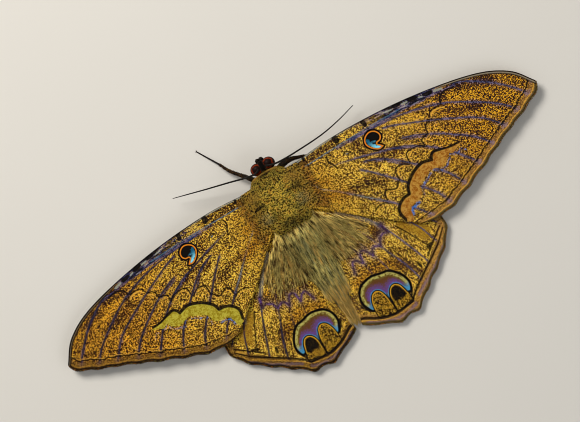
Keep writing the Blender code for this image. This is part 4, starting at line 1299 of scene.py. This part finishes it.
def colour_property(name, description, levels):
    return FloatVectorProperty(
        name=name, description=description, default=tint(*levels), subtype="COLOR", min=0.0, max=1.0
    )


def with_colours(colours):
    """Adds a property for each colour of a table to a group, or one for each side where the sides differ."""

    def add(group):
        for name, (description, *sets) in colours.items():
            names = [name] if len(sets) == 1 else [f"{name}_{side}" for side in SIDE_NAMES.values()]
            for full, levels in zip(names, sets):
                label = full.replace("_", " ").capitalize()
                group.__annotations__[full] = colour_property(label, description, levels)
        return group

    return add


@with_colours(WING_COLOURS)
class MothWings(bpy.types.PropertyGroup):
    """Sizes and pigments of the wings."""

    thickness: FloatProperty(
        name="Thickness",
        description="Thickness of the membrane with its scales",
        default=0.22 * MM,
        unit="LENGTH",
        precision=5,
    )
    rows: IntProperty(name="Rows", description="Rows of faces from shoulder to margin", default=230, min=20)
    spacing: FloatProperty(name="Spacing", description="Width of a face at the margin, in mm", default=0.36)


@with_colours(COAT_COLOURS)
class MothCoat(bpy.types.PropertyGroup):
    """Colours of the hair and scales on the body."""


@with_colours(BODY_COLOURS)
class MothBody(bpy.types.PropertyGroup):
    """Colours of skin, eyes and limbs."""


class MothStage(bpy.types.PropertyGroup):
    """Floor and light."""

    floor: colour_property("Floor", "Plain pale floor", (214, 210, 202))
    key: FloatProperty(name="Key light", description="Power of the key light in watts", default=3.4, min=0.0)
    fill: FloatProperty(name="Fill light", description="Power of the fill in watts", default=0.9, min=0.0)
    sky: FloatProperty(name="Sky", description="Strength of the even light", default=0.25, min=0.0)


# Operators

def camera_axes():
    """The camera's right, up and back directions."""
    roll, tilt = math.radians(CAMERA_ROLL), math.radians(CAMERA_TILT)
    right = np.array((-math.cos(roll), math.sin(roll), 0.0))
    up = np.array((-math.sin(roll), -math.cos(roll), 0.0))
    back = np.array((0.0, 0.0, math.cos(tilt))) + right * math.sin(tilt)
    return np.cross(up, back), up, back


def aim(thing, place, right, up, back):
    """Puts a camera or light at a place in metres, with its axes along these directions."""
    turned = Matrix(np.stack([right, up, back], 1).tolist()).to_4x4()
    thing.matrix_world = Matrix.Translation(place) @ turned


def add_lamp(name, way, size, power, colour):
    """A square lamp of this size in millimetres, out along this way from the moth and facing it."""
    bpy.ops.object.light_add(type="AREA")
    lamp = bpy.context.object
    lamp.name = name
    lamp.data.shape = "SQUARE"
    lamp.data.size = size * MM
    lamp.data.energy = power
    lamp.data.color = colour
    back = unit(way)
    right = unit(np.cross((0.0, 1.0, 0.0), back))
    aim(lamp, back * LAMP_DISTANCE * MM, right, np.cross(back, right), back)


class MOTH_OT_stage(bpy.types.Operator):
    """Adds the floor, the soft lights and the camera."""

    bl_idname = "moth.stage"
    bl_label = "Stage"

    def execute(self, context):
        settings = context.scene.moth_stage
        select()
        bpy.ops.mesh.primitive_plane_add(size=FLOOR_SIZE)
        floor = context.object
        floor.name = "floor"
        floor.data.materials.append(floor_paint(settings))
        right, up, back = camera_axes()
        bpy.ops.object.camera_add()
        camera = context.object
        camera.data.sensor_width = SENSOR_WIDTH
        camera.data.lens = SENSOR_WIDTH * CAMERA_DISTANCE / PICTURE_WIDTH
        camera.data.clip_start = 0.01
        aim(camera, (np.array(CAMERA_AIM) + back * CAMERA_DISTANCE) * MM, right, up, back)
        context.scene.camera = camera
        key_way = up * 0.8 - right * 0.75 + (0.0, 0.0, 1.25)
        fill_way = right * 0.9 - up * 0.5 + (0.0, 0.0, 1.0)
        add_lamp("key", key_way, KEY_SIZE, settings.key, (1.0, 0.97, 0.92))
        add_lamp("fill", fill_way, FILL_SIZE, settings.fill, (0.92, 0.96, 1.0))
        world = bpy.data.worlds.new("sky")
        world.use_nodes = True
        sky = world.node_tree.nodes["Background"]
        sky.inputs["Color"].default_value = (1.0, 1.0, 1.0, 1.0)
        sky.inputs["Strength"].default_value = settings.sky
        context.scene.world = world
        context.scene.view_settings.view_transform = "Standard"
        context.scene.cycles.filter_width = 1.0
        return {"FINISHED"}


def add_fringe(context, sheet, kind, count):
    """Short overlapping blades along the outer margin of a pair of wings."""
    dice = np.random.default_rng(SEED)
    edge = sheet.points[-1]
    outward = unit((edge - sheet.points[-4]) * (1.0, 1.0, 0.0))
    length = lengths_along(edge)[-1]
    wings = context.scene.moth_wings
    # The left fringe is coloured with the rim's painted shadow and the hem's darker, partly shaded streaks;
    # the right one with the hem's streaks and the edge's own olive dark.
    tones = {LEFT: (wings.rim_left, wings.hem_deep_left), RIGHT: (wings.hem_deep_right, wings.rim_right)}

    def cover(u, v):
        placed = along(np.hstack([edge, outward]), np.asarray(u).clip(0.0, 1.0))
        return placed[..., :3] + placed[..., 3:] * v[..., None]

    for side, side_name in SIDE_NAMES.items():
        name = f"fringe_{kind}_{side_name}"
        u, v = spread(dice, count, (0.002, 0.998), (-0.25, 0.05))
        slant = dice.normal(0.0, 0.12, count) / length
        reach = dice.uniform(*BLADE_LENGTHS, count)
        marks = {"tone": dice.random(count), "line": 0.0 * u}
        half = dice.uniform(*BLADE_HALF_WIDTHS, count)
        piece = grow_tufts(name, cover, u, v, slant, reach, half, half, 0.03, 0.0, marks, side == RIGHT)
        paint = coat_paint("fringe", context.scene.moth_coat, *tones[side], True)
        register_piece(piece, name, "wing", paint)


def make_wings(context, kind, sheet, fields, make_paint, blades):
    """The two wings of a pair, with this many blades of fringe on each."""
    settings = context.scene.moth_wings
    for side, name in SIDE_NAMES.items():
        piece = dress_wing(sheet, side, settings.thickness, fields)
        paint = make_paint(settings, side)
        register_piece(piece, f"wing_{kind}_{name}", "wing", paint, [f"{kind}wing_{name}"])
    add_fringe(context, sheet, kind, blades)


class MOTH_OT_forewings(bpy.types.Operator):
    """Makes the two forewings."""

    bl_idname = "moth.forewings"
    bl_label = "Forewings"

    def execute(self, context):
        settings = context.scene.moth_wings
        sheet = WingSheet(FOREWING_RAYS, FOREWING_SCALLOPS, forewing_height, settings.rows, settings.spacing)
        make_wings(context, "fore", sheet, forewing_fields(sheet), forewing_paint, FOREWING_BLADES)
        return {"FINISHED"}


class MOTH_OT_hindwings(bpy.types.Operator):
    """Makes the two hindwings."""

    bl_idname = "moth.hindwings"
    bl_label = "Hindwings"

    def execute(self, context):
        settings = context.scene.moth_wings
        rows = round(settings.rows * HINDWING_ROWS_SHARE)
        sheet = WingSheet(HINDWING_RAYS, HINDWING_SCALLOPS, hindwing_height, rows, settings.spacing)
        make_wings(context, "hind", sheet, hindwing_fields(sheet), hindwing_paint, HINDWING_BLADES)
        return {"FINISHED"}


class MOTH_OT_skin(bpy.types.Operator):
    """Makes the one skin of head, thorax and abdomen."""

    bl_idname = "moth.skin"
    bl_label = "Skin"

    def execute(self, context):
        def placed(cover, centre_y, half_y):
            def place(unit_points):
                x, y, z = unit_points.T
                return cover(np.arctan2(x, z), centre_y + y * (half_y - SKIN_DEPTH), -SKIN_DEPTH)

            return place

        middle, half = (ABDOMEN_FRONT + ABDOMEN_TAIL) / 2, (ABDOMEN_TAIL - ABDOMEN_FRONT) / 2
        thorax = shaped_sphere(72, 48, placed(thorax_cover, THORAX_CENTRE[1], THORAX_HALF[1]))
        abdomen = shaped_sphere(48, 72, placed(abdomen_cover, middle, half))
        head = shaped_sphere(48, 32, placed(head_core, HEAD_CENTRE[1], HEAD_HALF[1]))
        select(thorax, abdomen, head)
        bpy.ops.object.join()
        skin = context.object
        apply_modifier(skin, "REMESH", mode="VOXEL", voxel_size=VOXEL * MM, use_smooth_shade=True)
        apply_modifier(skin, "SMOOTH", factor=0.6, iterations=6)
        give(skin.data, **body_marks(to_plan(read_points(skin.data))))
        replaced = ["head", "thorax", "abdomen"]
        register_piece(skin, "skin", "thorax", skin_paint(context.scene.moth_body), replaced)
        return {"FINISHED"}


class MOTH_OT_eyes(bpy.types.Operator):
    """Makes the two glossy eyes."""

    bl_idname = "moth.eyes"
    bl_label = "Eyes"

    def execute(self, context):
        paint = eye_paint(context.scene.moth_body)
        for side, name in SIDE_NAMES.items():
            def place(unit_points, side=side):
                points = np.array(EYE_CENTRE) + unit_points * EYE_HALF
                points[:, 0] = np.maximum(points[:, 0], EYE_INNER_X) * side + HEAD_CENTRE[0]
                return points

            piece = shaped_sphere(48, 32, place)
            if side == RIGHT:
                piece.data.flip_normals()
            height = (to_plan(read_points(piece.data))[:, 2] - EYE_CENTRE[2]) / EYE_HALF[2]
            give(piece.data, height=height)
            register_piece(piece, f"eyeball_{name}", "eye", paint, [f"eye_{name}"])
        return {"FINISHED"}


def legs(side):
    """The legs of a side: pair, points, and at which of them there are spurs."""
    front = FRONT_LEG_OUT if side == LEFT else FRONT_LEG_TUCKED
    return ("front", front, ()), ("middle", MIDDLE_LEG, MIDDLE_SPURS_AT), ("hind", HIND_LEG, HIND_SPURS_AT)


def beaded(swell, length):
    """Beads of this length for a tube, whose radius swells by this share."""
    return lambda distance: 1.0 + swell * np.cos(distance * math.tau / length)


def thorns(points, at, length, root):
    """Pairs of thorns that leave a leg at these of its points, and lean towards its foot."""
    made = []
    for k in at:
        start, behind = np.array(points[k]), np.array(points[k - 1])
        ahead = np.array(points[min(k + 1, len(points) - 1)])
        lean = unit((ahead - start if k + 1 < len(points) else start - behind)[:3])
        sideways = unit(np.cross(lean, (0.0, 0.0, 1.0)))
        for sign in (1, -1):
            tip = start[:3] + lean * length * 0.8 + sign * sideways * (start[3] + length * 0.35)
            tip[2] = max(tip[2], THORN_CLEARANCE)
            middle = (start[:3] + tip) / 2 + sign * sideways * length * 0.08
            made.append([(*start[:3], root), (*middle, root * 0.7), (*tip, root * 0.2)])
    return made


def proboscis_points():
    """A flat coil in the plane of the head's middle, with its root in the head."""
    root_z = PROBOSCIS_Z + PROBOSCIS_RADIUS + 1.2
    points = [(HEAD_CENTRE[0], PROBOSCIS_Y + 0.3, root_z, PROBOSCIS_THICKNESS)]
    for turned in np.linspace(0.0, PROBOSCIS_TURNS, PROBOSCIS_STEPS + 1):
        radius = PROBOSCIS_RADIUS - PROBOSCIS_PITCH * turned
        angle = math.radians(90) + math.tau * turned
        y, z = PROBOSCIS_Y + radius * math.cos(angle), PROBOSCIS_Z + radius * math.sin(angle)
        points.append((HEAD_CENTRE[0], y, z, PROBOSCIS_THICKNESS))
    return points


class MOTH_OT_limbs(bpy.types.Operator):
    """Makes the feelers, palps, coiled proboscis and legs."""

    bl_idname = "moth.limbs"
    bl_label = "Limbs"

    def execute(self, context):
        paint = limb_paint(context.scene.moth_body)
        feelers = {LEFT: FEELER_TO_SIDE, RIGHT: FEELER_ALONG_WING}
        for side, name in SIDE_NAMES.items():
            feeler = tube(mirrored(feelers[side], side), 0.1, 4, beaded(0.09, FEELER_BEAD))
            register_piece(feeler, f"feeler_{name}", "limb", paint, [f"antenna_{name}"])
            palp = tube([(x * side + HEAD_CENTRE[0], *rest) for x, *rest in PALP], 0.2)
            register_piece(palp, f"mouth_palp_{name}", "thorax", paint, [f"palp_{name}"])
            for pair, points, joints in legs(side):
                leg = tube(mirrored(points, side), 0.3, 4, beaded(0.05, LEG_BEAD))
                spurs = thorns(points, joints, SPUR_LENGTH, SPUR_RADIUS)
                claws = thorns(points, (len(points) - 1,), CLAW_LENGTH, CLAW_RADIUS)
                select(leg, *[tube(mirrored(thorn, side), 0.2, 2) for thorn in spurs + claws])
                bpy.ops.object.join()
                register_piece(leg, f"walking_{pair}_{name}", "limb", paint, [f"leg_{pair}_{name}"])
        coil = tube(proboscis_points(), 0.15)
        register_piece(coil, "tongue_coil", "limb", paint, ["proboscis"])
        return {"FINISHED"}


def grow_coat(name, cover, u, v, du, dv, half, lift, dice, line, mirror=False):
    """Tufts of one kind, darkened and greyed by where their middles lie, and streaked along these lines."""
    marks = body_marks(cover(u + TUFT_MIDDLE * du, v + TUFT_MIDDLE * dv))
    marks["tone"], marks["line"] = dice.random(len(u)), line
    width = half * dice.uniform(*TUFT_WIDTHS, len(u))
    high = lift * dice.uniform(*TUFT_LIFTS, len(u))
    thick = width * TUFT_THICKNESS
    return grow_tufts(name, cover, u, v, du, dv, width, thick, high, TUFT_SINK, marks, mirror)


def line_body(dice, name, cover, slot, paint, count, angles, ys, lengths, half, lift):
    """Tufts that run back along a part of the body, between these angles from its top."""
    u, v = spread(dice, count, angles, ys)
    reach = dice.uniform(*lengths, count)
    swing = dice.normal(0.0, 0.06, count)
    piece = grow_coat(name, cover, u, v, swing, reach, half, lift, dice, u * 3.6)
    register_piece(piece, name, slot, paint)


def cape(dice, name, paint, count, xs, ys, way, lengths, half, lift, keep=None, mirror=False):
    """Tufts over the body and the wings' bases.

    way(x, y) is a tuft's heading from the tail's direction and the line that its streaks follow, and
    keep(x, y) is the chance that it is kept.
    """
    x, y = spread(dice, count, xs, ys)
    if keep is not None:
        kept = keep(x, y) > dice.random(count)
        x, y = x[kept], y[kept]
    reach = dice.uniform(*lengths, len(x))
    heading, line = way(x, y)
    heading = heading + dice.normal(0.0, 0.05, len(x))
    dx, dy = np.sin(heading) * reach, np.cos(heading) * reach
    piece = grow_coat(name, plan_cover, x, y, dx, dy, half, lift, dice, line, mirror)
    register_piece(piece, name, "thorax", paint)


def line_limb(dice, name, slot, points, side, end, count, lift, paint):
    """Tufts that lie along a limb, out to this share of its length."""
    length = lengths_along(smooth_line(points))[-1]
    u, v = spread(dice, count, (0.0, math.tau), (0.0, end))
    reach = dice.uniform(0.7, 1.3, count) / length
    swing = dice.normal(0.0, 0.15, count)
    piece = grow_coat(name, tube_cover(points), u, v, swing, reach, 0.07, lift, dice, u, side == RIGHT)
    register_piece(piece, name, slot, paint)


def bend(slope, heading=0.0):
    """A way that turns from this heading by the slope for each millimetre out, with its streaks along Y."""
    return lambda x, y: (heading + slope * x, x)


def from_shoulder(x, y):
    heading = np.arctan2(x - 1.6, y + 9.0)
    return heading, 20.0 * heading


def on_hindwing(x, y):
    return np.minimum((behind_forewing(x, y) - 0.6) * 2.0, 1.6 - (x + 0.7 * y) / 14.0)


def beside_abdomen(x, y):
    return (5.9 - (y - 6.0) * 0.16 - x) * 2.0


def on_tegula(x, y):
    return (9.0 - x) / 2.4


def on_forewing(x, y):
    return np.minimum(-0.8 - behind_forewing(x, y), (11.5 - x) / 5.0)


class MOTH_OT_coat(bpy.types.Operator):
    """Grows the tufts on head, thorax, abdomen, wing bases and legs."""

    bl_idname = "moth.coat"
    bl_label = "Coat"

    def execute(self, context):
        settings = context.scene.moth_coat
        dice = np.random.default_rng(SEED)
        gold = coat_paint("coat_gold", settings, "gold", "deep", True)
        base = coat_paint("coat_base", settings, "base", "base_deep", True)
        hair = coat_paint("coat_hair", settings, "fan", "fan_deep", False)
        dark = coat_paint("coat_dark", settings, "leg", "leg_deep", True, 0.12)
        # Name, cover, slot, paint, count, range of angles, range along Y, range of lengths, half width, lift
        for row in (
            ("thorax", thorax_cover, "thorax", gold, 11000, (-1.7, 1.7), (-15.5, 0.6), (0.8, 1.5), 0.13, 0.4),
            ("under", thorax_cover, "thorax", hair, 4500, (1.7, 4.58), (-15.3, 1.6), (1.6, 2.6), 0.12, 0.4),
            ("abdomen", abdomen_cover, "abdomen", hair, 7000, (-2, 2), (0.9, 28), (3, 5.5), 0.08, 0.45),
            ("belly", abdomen_cover, "abdomen", hair, 4000, (2, 4.28), (0.9, 28.6), (2, 3.4), 0.1, 0.3),
            ("brow", brow_cover, "thorax", gold, 700, (-0.5, 0.5), (-19.2, -15.9), (0.6, 1), 0.08, 0.3),
            ("nape", thorax_cover, "thorax", gold, 1500, (-1.5, 1.5), (-15.9, -15.2), (0.7, 1.2), 0.08, 0.5),
        ):
            line_body(dice, f"coat_{row[0]}", *row[1:])
        # Name, paint, count, range along X, range along Y, way, range of lengths, half width, lift, keep
        for row in (
            ("cape", hair, 5000, (-5.8, 5.8), (-1.6, 4.6), bend(0.03), (4, 9), 0.075, 0.45),
            ("tail", hair, 1800, (-1.9, 1.9), (19, 29), bend(-0.1), (3, 4.6), 0.075, 0.2),
        ):
            cape(dice, f"coat_{row[0]}", *row[1:])
        side_capes = (
            ("fan", hair, 12000, (2.4, 14), (0.6, 12), from_shoulder, (2.6, 5), 0.07, 0.3, on_hindwing),
            ("inner", hair, 2600, (1.4, 6), (6, 20), bend(-0.02), (3, 5.5), 0.075, 0.3, beside_abdomen),
            ("tegula", gold, 6000, (3, 9.5), (-13.6, -1.8), bend(0, 0.4), (0.8, 1.5), 0.13, 0.25, on_tegula),
            ("shoulder", base, 4500, (5, 12), (-13, 5), bend(0, 0.7), (0.6, 1.2), 0.11, 0.12, on_forewing),
        )
        for side, name in SIDE_NAMES.items():
            for kind, *row in side_capes:
                cape(dice, f"coat_{kind}_{name}", *row, side == RIGHT)
            for pair, points, _ in legs(side):
                line_limb(dice, f"coat_{pair}_leg_{name}", "limb", points, side, 0.62, 1000, 0.16, dark)
            palp = [(x + side * HEAD_CENTRE[0], *rest) for x, *rest in PALP]
            line_limb(dice, f"coat_palp_{name}", "thorax", palp, side, 0.9, 900, 0.25, dark)
        return {"FINISHED"}


class MOTH_PT_panel(bpy.types.Panel):
    """Lists the steps that build the moth."""

    bl_idname = "MOTH_PT_panel"
    bl_label = "Black witch moth"
    bl_space_type = "VIEW_3D"
    bl_region_type = "UI"
    bl_category = "Moth"

    def draw(self, context):
        for operator in OPERATORS:
            self.layout.operator(operator.bl_idname)


SETTINGS = {"moth_wings": MothWings, "moth_coat": MothCoat, "moth_body": MothBody, "moth_stage": MothStage}
OPERATORS = (
    MOTH_OT_stage, MOTH_OT_forewings, MOTH_OT_hindwings, MOTH_OT_skin, MOTH_OT_eyes, MOTH_OT_limbs,
    MOTH_OT_coat,
)


def register():
    for listed in (*SETTINGS.values(), *OPERATORS, MOTH_PT_panel):
        bpy.utils.register_class(listed)
    for name, group in SETTINGS.items():
        setattr(bpy.types.Scene, name, PointerProperty(type=group))


def unregister():
    for name in SETTINGS:
        delattr(bpy.types.Scene, name)
    for listed in (MOTH_PT_panel, *reversed(OPERATORS), *SETTINGS.values()):
        bpy.utils.unregister_class(listed)


def main():
    register()
    bpy.ops.moth.stage()
    bpy.ops.moth.forewings()
    bpy.ops.moth.hindwings()
    bpy.ops.moth.skin()
    bpy.ops.moth.eyes()
    bpy.ops.moth.limbs()
    bpy.ops.moth.coat()


if __name__ == "__main__":
    main()
